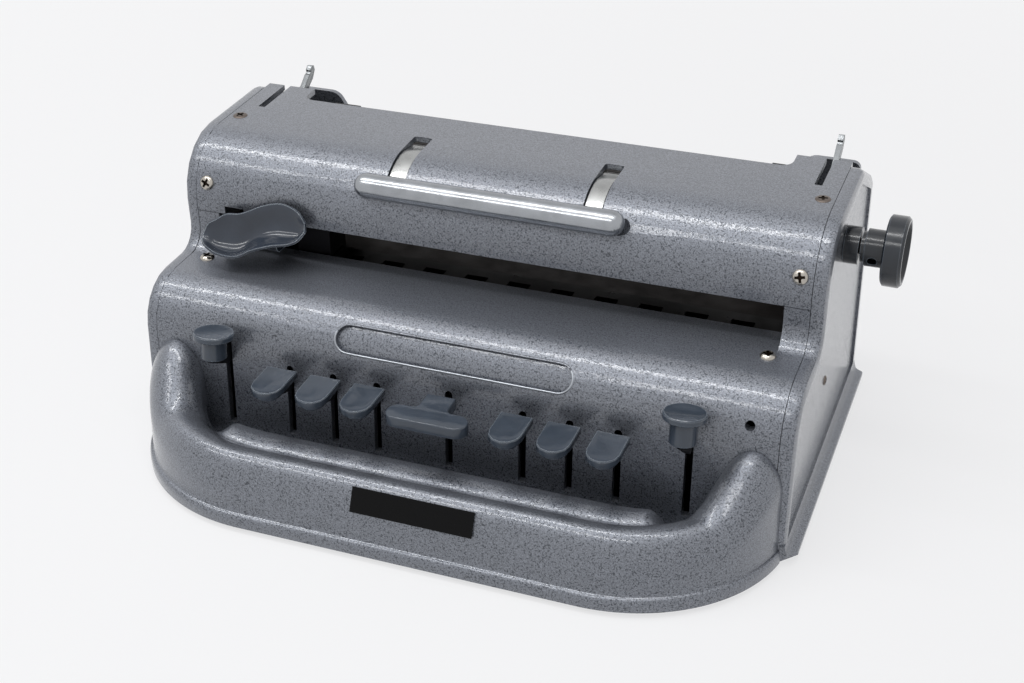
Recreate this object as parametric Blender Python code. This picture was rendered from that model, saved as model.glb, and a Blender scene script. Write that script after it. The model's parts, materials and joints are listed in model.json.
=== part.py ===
# Braille typewriter: a cast metal machine with six dot keys, a space key, two round command keys,
# a carriage that slides behind the front opening, a paper roller with a knob and a lifting handle.
# Lengths are metres and angles are degrees. X runs to the operator's right, Y to the back, Z up.
# Sizes are laid out in the machine's own frame: X = 0 on the keyboard's middle, Y = 0 where the
# side flanges start and Z = 0 on the table. The root empty then centres the whole box on X and Y.
import math

import bmesh
import bpy
from mathutils import Matrix, Vector

# Clearances that every piece shares
seat_gap = 0.0003
running_gap = 0.0003
slide_gap = 0.0005
overrun = 0.004
mirror_merge = 0.00001

# Housing
body_half_width = 0.175
end_plate_thickness = 0.007
body_rear_y = 0.176
ground_gap = 0.003
shoulder_height = 0.090
shoulder_rear_y = 0.063
opening_face_y = 0.053
opening_drop = 0.0375
cover_brow_radius = 0.032

# Front panel
panel_foot_y = -0.006
panel_lean = 0.0072
panel_thickness = 0.004
panel_brow_radius = 0.025
shoulder_lip = 0.008
column_width = 0.0127
column_fillet = 0.012
column_root = 0.003
status_hole_inset = 0.0221
status_hole_height = 0.0743
status_hole_radius = 0.0025
plate_half_length = 0.064
plate_half_height = 0.0076
plate_depth = 0.0008
plate_tilt = 32

# Hand rest
rest_front_y = -0.069
rest_corner_x = 0.090
rest_corner_y = 0.017
rest_height = 0.0395
horn_height = 0.062
horn_width = 0.033
rest_depth = 0.049
rest_wall = 0.003
rest_floor = 0.010
rest_floor_inset = 0.045

# End plates
plate_edge_round = 0.003
plate_rim = 0.007
plate_recess = 0.0012
plate_slope_y = 0.138
plate_slope_rear_y = 0.169
plate_slope_drop = 0.017
plate_rear_corner_drop = 0.0225
plate_corner_radius = 0.010
flange_reach = 0.0054
flange_height = 0.0095
flange_toe = 0.0025
flange_end_radius = 0.009

# Upper cover
cover_thickness = 0.003
cover_clearance = 0.0095
cover_rear_y = 0.129
tab_rear_y = 0.1435
tab_width = 0.036
tab_corner_radius = 0.006
strap_slot_rear_y = 0.1025
lever_slot_front_y = 0.112
notch_inset = 0.024
notch_width = 0.0115
notch_height = 0.0045

# Base plate, rear panel and feet
base_thickness = 0.0025
base_inset = 0.0045
rear_thickness = 0.003
rear_post_drop = 0.0138
rear_edge_drop = 0.0365
rear_post_width = 0.035
rear_slope_run = 0.014
rear_corner_radius = 0.008
foot_radius = 0.009
foot_inset = 0.035
foot_front_y = -0.030
foot_rear_y = 0.155

# Label on the hand rest
label_centre_x = 0.0047
label_length = 0.064
label_thickness = 0.0006
label_bottom = 0.0255
label_top = 0.037

# Handle
handle_radius = 0.0066
handle_half_length = 0.073
handle_angle = 38.8
handle_standoff = 0.005
recess_clearance = 0.0006
recess_end = 0.004
strap_inset = 0.0195
strap_width = 0.009
strap_thickness = 0.0028
strap_sink = 0.001
strap_slot_play = 0.0007
strap_tip_angle = 4
strap_seat_depth = 0.0055
pivot_y = 0.097
pivot_drop = 0.0075
pivot_rod_radius = 0.002
pivot_eye_radius = 0.0044
pivot_lug_width = 0.003
pivot_lug_depth = 0.010

# Key levers, on one shaft that runs from end plate to end plate
shaft_y = 0.062
shaft_height = 0.036
shaft_radius = 0.004
lever_thickness = 0.003
lever_blade = 0.009
lever_boss = 0.007
command_tail_y = 0.098
lever_tail_height = 0.0507
lever_tail_depth = 0.008
nub_rear_play = 0.0019
nub_front_play = 0.001
nub_height = 0.005
slot_width = 0.004
slot_bottom = 0.0184
slot_headroom = 0.0033
lever_nose_show = 0.0005
dot_key_x = (0.0397, 0.0643, 0.0892)

# Dot keys
dot_key_width = 0.017
dot_key_rear_y = -0.0093
dot_key_front_y = -0.034
dot_key_top = 0.0625
dot_key_thickness = 0.0065
dot_key_dish = 0.0009
dot_key_waist = 0.0037
dot_key_step = 0.0012
key_groove_depth = 0.003

# Space key
space_half_length = 0.0215
space_front_y = -0.035
space_bar_depth = 0.0125
space_rear_y = -0.0095
space_neck_width = 0.0155
space_top = 0.065
space_blade_bite = 0.0007

# Round command keys
button_x = 0.125
button_y = -0.0131
button_radius = 0.0108
button_stem_radius = 0.0067
button_disc = 0.0035
button_dish = 0.0007
button_tops = (0.0796, 0.0851)
button_stem_bottoms = (0.0650, 0.0690)
button_blade_bite = 0.0005
button_tilt = 10

# Return springs, hooked between the base plate and the lever tails
spring_y = 0.080
spring_radius = 0.0025
spring_wire = 0.0007

# Embossing bails, lifted by the dot levers
bail_first_y = 0.086
bail_pitch = 0.0036
bail_thickness = 0.0018
bail_foot_height = 0.007
bail_height = 0.006
bail_headroom = 0.0065
bail_foot_width = 0.008
guide_reach = 0.018
guide_margin = 0.003
guide_depth = 0.008
guide_rise = 0.0015

# Carriage, its rail and its rack
rack_front_y = 0.066
rack_rear_y = 0.078
rack_thickness = 0.004
rack_pitch = 0.024
rack_notch_width = 0.012
rack_notch_depth = 0.005
rack_notch_count = 12
rail_y = 0.072
rail_drop = 0.0078
rail_radius = 0.004
carriage_inset = 0.025
carriage_width = 0.055
carriage_block_front_y = 0.0645
carriage_block_height = 0.018
carriage_back_thickness = 0.0035
carriage_foot_drop = 0.0062
jaw_reach = 0.024
upper_jaw_thickness = 0.009
lower_jaw_thickness = 0.0095
carriage_round = 0.002
pin_radius = 0.0012
pin_length = 0.0085
pin_spread_x = 0.0085
pin_hang = 0.0007

# Carriage lever with its finger scoop
scoop_inset = 0.018
scoop_length = 0.0577
scoop_drop = 0.0028
scoop_rise = 0.0275
scoop_front_y = 0.029
scoop_depth = 0.019
scoop_bowl = 0.0082
scoop_wall = 0.0018
lever_pin_y = 0.0735
lever_pin_rise = 0.0125
lever_pin_radius = 0.002
lever_arm_width = 0.007
lever_arm_thickness = 0.0055
lever_arm_along = 0.031
lever_slot_play = 0.0008

# Paper roller, its shaft, knob and ratchet wheel
roller_y = 0.103
roller_radius = 0.013
roller_clearance = 0.0035
roller_inset = 0.035
roller_shaft_radius = 0.004
knob_radius = 0.018
knob_disc = 0.0105
knob_hub_length = 0.0094
knob_dish = 0.0035
knob_dish_radius = 0.0145
knob_hub_radius = 0.0095
knob_neck_radius = 0.0078
knob_neck = 0.0018
knob_edge = 0.0014
knob_floor = 0.0025
bushing_length = 0.0074
bushing_neck_radius = 0.0065
knob_gap = 0.0008
set_screw_radius = 0.0025
set_screw_depth = 0.004
ratchet_inset = 0.0305
ratchet_thickness = 0.003
ratchet_radius = 0.0145
ratchet_tooth = 0.0022
ratchet_teeth = 20

# Paper release shaft, levers and pressure rollers
release_y = 0.139
release_drop = 0.001
release_radius = 0.003
release_lever_inset = 0.0187
release_lever_length = 0.0445
release_lever_width = 0.0065
release_lever_thickness = 0.003
release_lean = 36
release_eye_radius = 0.0055
release_hook = 0.0035
release_notch = 0.0012
release_slot_play = 0.0005
press_reach = 0.016
press_fall = 14.5
press_rod_radius = 0.002
press_roller_length = 0.030
press_roller_x = (-0.070, 0.0, 0.070)
press_arm_x = (-0.105, -0.035, 0.035, 0.105)
press_arm_width = 0.006

# Paper table
table_front_y = 0.084
table_bend_y = 0.138
table_rear_y = 0.163
table_rise = 0.015
table_thickness = 0.002
table_bend_radius = 0.020

# Margin rail and stops
margin_y = 0.161
margin_drop = 0.008
margin_radius = 0.003
stop_length = 0.016
stop_depth = 0.011
stop_height = 0.011
stop_tab_height = 0.012
stop_tab_thickness = 0.003
stop_inset = 0.045

# Bell and mainspring drum
bell_x = -0.110
bell_y = 0.137
bell_radius = 0.022
bell_height = 0.016
bell_wall = 0.0016
bell_post_radius = 0.003
bell_post_height = 0.030
drum_x = 0.120
drum_height = 0.045
drum_radius = 0.022
drum_width = 0.014
drum_rim = 0.0015
drum_stud_radius = 0.004
drum_rear_y = 0.158

# Heights that stack up from the key levers to the cover
dot_blade_top = dot_key_top - dot_key_thickness
space_blade_top = space_top - dot_key_thickness + space_blade_bite
button_blade_top = button_stem_bottoms[0] + button_blade_bite
bail_bottom = lever_tail_height + seat_gap + bail_foot_height
bail_top = bail_bottom + bail_height
jaw_bottom = bail_top + bail_headroom
jaw_top = jaw_bottom + lower_jaw_thickness
table_height = jaw_top + slide_gap * 4 + table_thickness
table_rear_height = table_height + table_rise
rack_bottom = table_height
rack_top = rack_bottom + rack_thickness
rail_height = rack_bottom - rail_drop
lever_pin_height = rack_top + lever_pin_rise
scoop_low_height = lever_pin_height - scoop_drop
carriage_top = rack_top + slide_gap + carriage_block_height
roller_height = carriage_top + roller_clearance + roller_radius
release_height = roller_height - release_drop
margin_height = release_height - margin_drop
cover_height = roller_height + roller_radius + cover_clearance + cover_thickness
opening_top = cover_height - opening_drop
pivot_height = cover_height - pivot_drop
rear_post_height = cover_height - rear_post_drop
rear_edge_height = cover_height - rear_edge_drop
plate_rear_corner_height = cover_height - plate_rear_corner_drop
press_y = release_y - press_reach * math.cos(math.radians(press_fall))
press_height = release_height - press_reach * math.sin(math.radians(press_fall))

# Places that follow the body's half width
rest_corner_radius = body_half_width - rest_corner_x
rest_floor_rear_x = body_half_width - rest_floor_inset
status_hole_x = body_half_width - status_hole_inset
tab_inner_x = body_half_width - tab_width
notch_left_x = notch_inset - body_half_width
notch_right_x = notch_left_x + notch_width
rear_post_x = body_half_width - rear_post_width
rear_slope_x = rear_post_x - rear_slope_run
foot_x = body_half_width - foot_inset
strap_x = handle_half_length - strap_inset
guide_inner_x = body_half_width - guide_reach
carriage_left_x = carriage_inset - body_half_width
lever_arm_x = carriage_left_x + lever_arm_along
scoop_left_x = scoop_inset - body_half_width
roller_half_length = body_half_width - roller_inset
ratchet_x = body_half_width - ratchet_inset
release_lever_x = body_half_width - release_lever_inset
stop_x = body_half_width - stop_inset
bushing_end = body_half_width - plate_recess + seat_gap + bushing_length
knob_neck_x = bushing_end + knob_gap
knob_hub_x = knob_neck_x + knob_neck
knob_disc_x = knob_hub_x + knob_hub_length
knob_reach = knob_disc_x + knob_disc

# Derived places
inner_x = body_half_width - end_plate_thickness - seat_gap
span_x = inner_x - seat_gap
base_top = ground_gap + base_thickness
floor_seat = base_top + seat_gap
rear_face_y = body_rear_y - seat_gap
brow_centre = (opening_face_y + cover_brow_radius, cover_height - cover_brow_radius)
box_front_y = rest_front_y
box_left_x = -(body_half_width + flange_reach)
release_tip_y = release_y + release_lever_length * math.cos(math.radians(release_lean))
box_rear_y = max(body_rear_y, release_tip_y)
root_shift = Vector((-(box_left_x + knob_reach) / 2, -(box_front_y + box_rear_y) / 2, 0))


def clear_scene():
    for old in list(bpy.data.objects):
        bpy.data.objects.remove(old, do_unlink=True)


def add_empty(name, place, parent=None):
    empty = bpy.data.objects.new(name, None)
    empty.location = place
    empty.parent = parent
    bpy.context.scene.collection.objects.link(empty)
    return empty


def make_material(name, colour, roughness, metallic):
    material = bpy.data.materials.new(name)
    material.use_nodes = True
    shader = material.node_tree.nodes["Principled BSDF"]
    shader.inputs["Base Color"].default_value = (*colour, 1)
    shader.inputs["Roughness"].default_value = roughness
    shader.inputs["Metallic"].default_value = metallic
    material.diffuse_color = (*colour, 1)
    return material


# Finishes as linear colour, roughness and metallic value
finishes = {
    "hammertone": ((0.19, 0.21, 0.23), 0.42, 0.35),
    "key_plastic": ((0.085, 0.105, 0.13), 0.30, 0.0),
    "knob_plastic": ((0.022, 0.026, 0.030), 0.35, 0.0),
    "polished_metal": ((0.72, 0.72, 0.71), 0.22, 1.0),
    "steel": ((0.42, 0.42, 0.42), 0.38, 1.0),
    "dark_steel": ((0.09, 0.09, 0.095), 0.45, 0.9),
    "rubber": ((0.02, 0.02, 0.02), 0.85, 0.0),
    "brown_steel": ((0.060, 0.048, 0.042), 0.40, 0.6),
    "brass": ((0.60, 0.43, 0.18), 0.32, 1.0),
    "black_print": ((0.010, 0.010, 0.012), 0.30, 0.0),
}


def add_object(name, mesh, finish, pivot=None):
    # A moving piece is parented to the empty on its joint's axis
    obj = bpy.data.objects.new(name, mesh)
    bpy.context.scene.collection.objects.link(obj)
    if finish:
        mesh.materials.append(make_material(name + "_finish", *finishes[finish]))
    if pivot is None:
        obj.parent = root
    else:
        obj.parent = pivot
        mesh.transform(Matrix.Translation(-pivot.location))
    return obj


def shade(mesh, angle=35):
    mesh.shade_smooth()
    mesh.set_sharp_from_angle(angle=math.radians(angle))


def to_mesh(name, bm, smooth=True):
    bmesh.ops.recalc_face_normals(bm, faces=bm.faces)
    mesh = bpy.data.meshes.new(name)
    bm.to_mesh(mesh)
    bm.free()
    if smooth:
        shade(mesh)
    return mesh


def tidy_outline(points):
    kept = []
    for point in points:
        if not kept or (Vector(point) - Vector(kept[-1])).length > seat_gap / 10:
            kept.append(point)
    if (Vector(kept[0]) - Vector(kept[-1])).length <= seat_gap / 10:
        kept.pop()
    return kept


def rounded(corners, steps=4):
    # Corners are (a, b) or (a, b, radius); a rounded corner becomes an arc of the given steps
    points = []
    count = len(corners)
    for i, corner in enumerate(corners):
        here = Vector(corner[:2])
        if len(corner) < 3:
            points.append(tuple(here))
            continue
        before = Vector(corners[i - 1][:2]) - here
        after = Vector(corners[(i + 1) % count][:2]) - here
        half = before.angle(after) / 2
        reach = corner[2] / math.tan(half)
        limit = min(before.length, after.length)
        reach = min(reach, limit)
        radius = reach * math.tan(half)
        start = here + before.normalized() * reach
        middle = (before.normalized() + after.normalized()).normalized()
        centre = here + middle * (radius / math.sin(half))
        first = start - centre
        sweep = math.pi - 2 * half
        turn = -1 if before.cross(after) > 0 else 1
        for k in range(steps + 1):
            angle = -turn * sweep * k / steps
            spoke = Matrix.Rotation(-angle, 2) @ first
            points.append(tuple(centre + spoke))
    return tidy_outline(points)


def place_point(axis, along, a, b):
    if axis == "X":
        return (along, a, b)
    if axis == "Y":
        return (a, along, b)
    return (a, b, along)


def prism_into(bm, outline, axis, start, end):
    near = [bm.verts.new(place_point(axis, start, *p)) for p in outline]
    far = [bm.verts.new(place_point(axis, end, *p)) for p in outline]
    count = len(outline)
    for i in range(count):
        j = (i + 1) % count
        bm.faces.new((near[i], near[j], far[j], far[i]))
    bm.faces.new(near)
    bm.faces.new(far)


def prism(name, outline, axis, start, end):
    bm = bmesh.new()
    prism_into(bm, outline, axis, start, end)
    return to_mesh(name, bm)


def box_outline(a0, a1, b0, b1):
    return [(a0, b0), (a1, b0), (a1, b1), (a0, b1)]


def box(name, x0, x1, y0, y1, z0, z1):
    return prism(name, box_outline(x0, x1, y0, y1), "Z", z0, z1)


def turned_into(bm, profile, axis, centre, segments, closed=False):
    # The profile holds (place along the axis, radius); radius zero closes on the axis
    rings = []
    for along, radius in profile:
        if radius == 0:
            rings.append([bm.verts.new(place_point(axis, along, *centre))])
            continue
        ring = []
        for k in range(segments):
            angle = 2 * math.pi * k / segments
            a = centre[0] + radius * math.cos(angle)
            b = centre[1] + radius * math.sin(angle)
            ring.append(bm.verts.new(place_point(axis, along, a, b)))
        rings.append(ring)
    pairs = list(zip(rings[:-1], rings[1:]))
    if closed:
        pairs.append((rings[-1], rings[0]))
    for low, high in pairs:
        for k in range(segments):
            n = (k + 1) % segments
            if len(low) == 1 and len(high) == 1:
                continue
            if len(low) == 1:
                bm.faces.new((low[0], high[k], high[n]))
            elif len(high) == 1:
                bm.faces.new((low[k], low[n], high[0]))
            else:
                bm.faces.new((low[k], low[n], high[n], high[k]))


def turned(name, profile, axis, centre, segments=24, closed=False):
    bm = bmesh.new()
    turned_into(bm, profile, axis, centre, segments, closed)
    return to_mesh(name, bm)


def rod_profile(start, end, radius):
    return [(start, 0), (start, radius), (end, radius), (end, 0)]


def rod(name, axis, centre, start, end, radius, segments=16):
    return turned(name, rod_profile(start, end, radius), axis, centre, segments)


def tool_object(name, mesh):
    # A guide or cutter that only shapes another piece
    obj = bpy.data.objects.new(name, mesh)
    bpy.context.scene.collection.objects.link(obj)
    obj.parent = root
    obj.hide_render = True
    obj.display_type = "WIRE"
    return obj


def combine(target, name, mesh, operation):
    tool = mesh if isinstance(mesh, bpy.types.Object) else tool_object(name, mesh)
    modifier = target.modifiers.new(name, "BOOLEAN")
    modifier.operation = operation
    modifier.solver = "EXACT"
    modifier.object = tool
    return tool


def cut(target, name, mesh):
    return combine(target, name, mesh, "DIFFERENCE")


def weld_on(target, name, mesh):
    return combine(target, name, mesh, "UNION")


def soften(obj, width, segments=2, angle=40):
    modifier = obj.modifiers.new("soft_edges", "BEVEL")
    modifier.width = width
    modifier.segments = segments
    modifier.limit_method = "ANGLE"
    modifier.angle_limit = math.radians(angle)


def panel_face_y(height):
    # The front panel leans back from its foot to the shoulder
    share = (height - ground_gap) / (shoulder_height - ground_gap)
    return panel_foot_y + panel_lean * share


def lofted(name, loops):
    # Bridges closed loops of equal counts and caps both ends
    bm = bmesh.new()
    rings = [[bm.verts.new(p) for p in ring] for ring in loops]
    count = len(rings[0])
    for low, high in zip(rings[:-1], rings[1:]):
        for k in range(count):
            n = (k + 1) % count
            bm.faces.new((low[k], low[n], high[n], high[k]))
    bm.faces.new(rings[0])
    bm.faces.new(rings[-1])
    return to_mesh(name, bm)


# Housing pieces


def front_corners(inset, foot):
    face = panel_foot_y + inset
    top = shoulder_height - inset
    brow = panel_brow_radius - inset
    return [(face, foot), (face + panel_lean, top, brow)]


def make_front_panel():
    outer = front_corners(0, floor_seat)
    inner = front_corners(panel_thickness, floor_seat)
    lip_bottom = shoulder_height - shoulder_lip
    corners = outer + [
        (shoulder_rear_y, shoulder_height),
        (shoulder_rear_y, lip_bottom),
        (shoulder_rear_y - panel_thickness, lip_bottom),
        (shoulder_rear_y - panel_thickness, shoulder_height - panel_thickness),
    ] + inner[::-1]
    panel = add_object("front_panel", prism("front_panel", rounded(corners, 8), "X", -inner_x, inner_x),
                       "hammertone")
    root_height = shoulder_height - column_root
    column = rounded([
        (opening_face_y - column_fillet * 1.5, root_height),
        (opening_face_y - column_fillet * 1.5, shoulder_height - seat_gap),
        (opening_face_y, shoulder_height - seat_gap, column_fillet),
        (opening_face_y, opening_top - seat_gap),
        (shoulder_rear_y, opening_top - seat_gap),
        (shoulder_rear_y, root_height),
    ], 5)
    columns = bmesh.new()
    for side in (-1, 1):
        prism_into(columns, column, "X", side * (inner_x - column_width), side * inner_x)
    weld_on(panel, "front_columns", to_mesh("front_columns", columns))
    cut(panel, "key_slots", key_slot_cutter())
    hole = rod("status_hole", "Y", (status_hole_x, status_hole_height), panel_foot_y - overrun,
               panel_brow_radius, status_hole_radius, 16)
    cut(panel, "status_hole", hole)
    cut(panel, "plate_recess", plate_cutter())
    return panel


def key_slot_cutter():
    bm = bmesh.new()
    tops = [(side * x, dot_blade_top) for x in dot_key_x for side in (-1, 1)]
    tops += [(0, space_blade_top), (-button_x, button_blade_top), (button_x, button_blade_top)]
    half = slot_width / 2
    for x, blade_top in tops:
        outline = rounded([
            (x - half, slot_bottom), (x + half, slot_bottom),
            (x + half, blade_top + slot_headroom, half), (x - half, blade_top + slot_headroom, half),
        ], 3)
        prism_into(bm, outline, "Y", panel_foot_y - overrun, panel_foot_y + panel_brow_radius)
    return to_mesh("key_slots", bm)


def plate_cutter():
    # The stadium is driven into the brow along its own normal, down to the recess depth
    centre = (panel_foot_y + panel_lean + panel_brow_radius, shoulder_height - panel_brow_radius)
    reach = panel_brow_radius - plate_depth
    outline = rounded([
        (-plate_half_length, -plate_half_height, plate_half_height),
        (plate_half_length, -plate_half_height, plate_half_height),
        (plate_half_length, plate_half_height, plate_half_height),
        (-plate_half_length, plate_half_height, plate_half_height),
    ], 6)
    stadium = prism("plate_stadium", outline, "Y", -panel_brow_radius - overrun, -reach / 2)
    stadium.transform(Matrix.Translation((0, *centre)) @ Matrix.Rotation(math.radians(-plate_tilt), 4, "X"))
    cutter = tool_object("plate_stadium", stadium)
    core = rod("plate_core", "X", centre, -body_half_width, body_half_width, reach, 96)
    cut(cutter, "plate_core", core)
    return cutter


# Rows of the hand rest's section: how far in from the outer base path, and how high.
# The first pair of shares is for the rest (of its depth and height), the second for the horn.
rest_row_shares = (
    ((0.000, 0.076), (0.000, 0.048)),
    ((0.000, 0.190), (0.000, 0.121)),
    ((0.022, 0.248), (0.018, 0.158)),
    ((0.060, 0.285), (0.048, 0.181)),
    ((0.082, 0.506), (0.060, 0.480)),
    ((0.122, 0.709), (0.067, 0.725)),
    ((0.184, 0.886), (0.180, 0.880)),
    ((0.255, 0.977), (0.330, 0.968)),
    ((0.327, 1.000), (0.500, 1.000)),
    ((0.430, 0.962), (0.680, 0.968)),
    ((0.530, 0.873), (0.850, 0.870)),
    ((0.602, 0.785), (0.955, 0.725)),
    ((0.694, 0.823), (0.985, 0.580)),
    ((0.796, 0.841), (1.000, 0.468)),
    ((0.898, 0.810), (1.000, 0.371)),
    ((0.969, 0.722), (1.000, 0.274)),
    ((0.990, 0.557), (1.006, 0.210)),
    ((1.000, 0.304), (1.030, 0.177)),
    ((1.041, 0.253), (1.090, 0.161)),
)
ledge_first_row = 11
blend_angles = (12, 45)
ledge_angles = (45, 66)


def smooth_share(value, start, end):
    t = min(max((value - start) / (end - start), 0), 1)
    return t * t * (3 - 2 * t)


def inset_path(points, amount):
    # Moves an open chain of points to its right side by the wall thickness
    moved = []
    for i, point in enumerate(points):
        before = Vector(points[max(i - 1, 0)])
        after = Vector(points[min(i + 1, len(points) - 1)])
        along = (after - before).normalized()
        moved.append(tuple(Vector(point) + Vector((along.y, -along.x)) * amount))
    return moved


def hand_rest_rows(inset):
    rest = [(a * rest_depth, b * rest_height) for (a, b), _ in rest_row_shares]
    horn = [(a * horn_width, b * horn_height) for _, (a, b) in rest_row_shares]
    if inset:
        rest = inset_path(rest, inset)
        horn = inset_path(horn, inset)
        rest[0] = (inset, ground_gap)
        horn[0] = (inset, ground_gap)
        rest[1] = (inset, rest[1][1])
        horn[1] = (inset, horn[1][1])
        rest[-1] = (rest[-1][0], rest_floor - inset)
        horn[-1] = (horn[-1][0], rest_floor - inset)
    return rest, horn


def hand_rest_station(angle, x_share, inset):
    rest, horn = hand_rest_rows(inset)
    first = math.asin(rest_corner_y / rest_corner_radius)
    side = math.cos(math.radians(angle)) / math.cos(first)
    front = (math.sin(math.radians(angle)) - math.sin(first)) / (1 - math.sin(first))
    rise = smooth_share(angle, *blend_angles)
    ledge = smooth_share(angle, *ledge_angles)
    crest = horn_height + (rest_height - horn_height) * rise
    start_x = rest_corner_x + rest_corner_radius * math.cos(first)
    points = []
    for row, (low, high) in enumerate(zip(rest, horn)):
        if row < ledge_first_row:
            height = high[1] + (low[1] - high[1]) * rise
        else:
            scale = (crest - rest_floor) / (horn_height - rest_floor)
            wall = rest_floor + (high[1] - rest_floor) * scale
            height = wall + (low[1] - wall) * ledge
        rear_y = panel_face_y(height) - seat_gap
        front_y = rest_front_y + low[0]
        x = rest_corner_x + (start_x - high[0] - rest_corner_x) * side
        y = rear_y - (rear_y - front_y) * front
        points.append((x * x_share, y, height))
    floor = rest_floor - inset
    floor_x = rest_corner_x + (rest_floor_rear_x - rest_corner_x) * side
    points.append((floor_x * x_share, panel_face_y(floor) - seat_gap, floor))
    return points


def make_hand_rest():
    first = math.degrees(math.asin(rest_corner_y / rest_corner_radius))
    steps = 10
    stations = [(first + (90 - first) * k / steps, 1) for k in range(steps + 1)] + [(90, 0)]
    bm = bmesh.new()
    outer = [[bm.verts.new(p) for p in hand_rest_station(a, s, 0)] for a, s in stations]
    inner = [[bm.verts.new(p) for p in hand_rest_station(a, s, rest_wall)] for a, s in stations]
    rows = len(outer[0])
    for k in range(len(stations) - 1):
        for r in range(rows - 1):
            bm.faces.new((outer[k][r], outer[k + 1][r], outer[k + 1][r + 1], outer[k][r + 1]))
            bm.faces.new((inner[k][r], inner[k][r + 1], inner[k + 1][r + 1], inner[k + 1][r]))
        bm.faces.new((outer[k][0], inner[k][0], inner[k + 1][0], outer[k + 1][0]))
        bm.faces.new((outer[k][-1], outer[k + 1][-1], inner[k + 1][-1], inner[k][-1]))
    for r in range(rows - 1):
        bm.faces.new((outer[0][r], outer[0][r + 1], inner[0][r + 1], inner[0][r]))
    mesh = to_mesh("hand_rest", bm)
    rest = add_object("hand_rest", mesh, "hammertone")
    mirror = rest.modifiers.new("other_half", "MIRROR")
    mirror.merge_threshold = mirror_merge
    return rest


def end_plate_outline(inset=0):
    slope_top = cover_height - inset
    drop = plate_slope_drop
    front = front_corners(inset, ground_gap + inset)
    return rounded(front + [
        (opening_face_y + inset, shoulder_height - inset, column_fillet + inset),
        (opening_face_y + inset, slope_top, cover_brow_radius - inset),
        (plate_slope_y - inset / 2, slope_top, plate_corner_radius),
        (plate_slope_rear_y - inset / 2, slope_top - drop, plate_corner_radius),
        (body_rear_y - inset, plate_rear_corner_height - inset / 2, plate_corner_radius / 2),
        (body_rear_y - inset, ground_gap + inset),
    ], 5)


def make_end_plate(name, side):
    # One loft: the inner face, the edge rounded over to the outer face, and the sunk panel
    edge = plate_edge_round
    places = [
        (body_half_width - end_plate_thickness, 0), (body_half_width - edge, 0),
        (body_half_width - edge * 0.3, edge * 0.3), (body_half_width, edge),
        (body_half_width, plate_rim), (body_half_width - plate_recess, plate_rim),
    ]
    loops = [[(side * x, y, z) for y, z in end_plate_outline(inset)] for x, inset in places]
    plate = add_object(name, lofted(name, loops), "hammertone")
    weld_on(plate, name + "_flange", flange_mesh(name + "_flange", side))
    weld_on(plate, name + "_guide", bail_guide(name + "_guide", side))
    return plate


def flange_mesh(name, side):
    # A skirt that flares out along the foot of the end plate, with a round front end
    root_x = body_half_width - plate_recess * 2
    outline = rounded([
        (side * root_x, ground_gap),
        (side * (body_half_width + flange_reach), ground_gap),
        (side * (body_half_width + flange_reach), ground_gap + flange_toe, flange_toe / 2),
        (side * (body_half_width + flange_reach / 4), ground_gap + flange_toe * 1.6, flange_toe),
        (side * body_half_width, ground_gap + flange_height),
        (side * root_x, ground_gap + flange_height),
    ], 3)
    bm = bmesh.new()
    front_y = panel_foot_y + flange_end_radius
    prism_into(bm, outline, "Y", front_y, body_rear_y - flange_toe)
    flange = to_mesh(name, bm)
    ends = bmesh.new()
    ends.from_mesh(flange)
    # The front end closes in a quarter circle seen from above
    near = [v for v in ends.verts if abs(v.co.y - front_y) < seat_gap]
    for vert in near:
        reach = (abs(vert.co.x) - root_x) / (body_half_width + flange_reach - root_x)
        vert.co.y = front_y - flange_end_radius * math.sqrt(max(1 - reach * reach, 0))
        vert.co.y = max(vert.co.y, panel_foot_y + seat_gap)
    ends.to_mesh(flange)
    ends.free()
    return flange


def cover_section():
    inset = cover_thickness
    outer = [(opening_face_y, opening_top), (opening_face_y, cover_height, cover_brow_radius),
             (tab_rear_y, cover_height)]
    inner = [(tab_rear_y, cover_height - inset),
             (opening_face_y + inset, cover_height - inset, cover_brow_radius - inset),
             (opening_face_y + inset, opening_top)]
    return rounded(outer + inner, 8)


def strap_slot_bottom():
    # The slots end just below the straps' lower ends, where the bar hides them
    low = math.radians(handle_angle - strap_tip_angle / 2)
    inner = cover_brow_radius - strap_sink - strap_thickness
    return brow_centre[1] + inner * math.sin(low) - strap_slot_play


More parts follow.
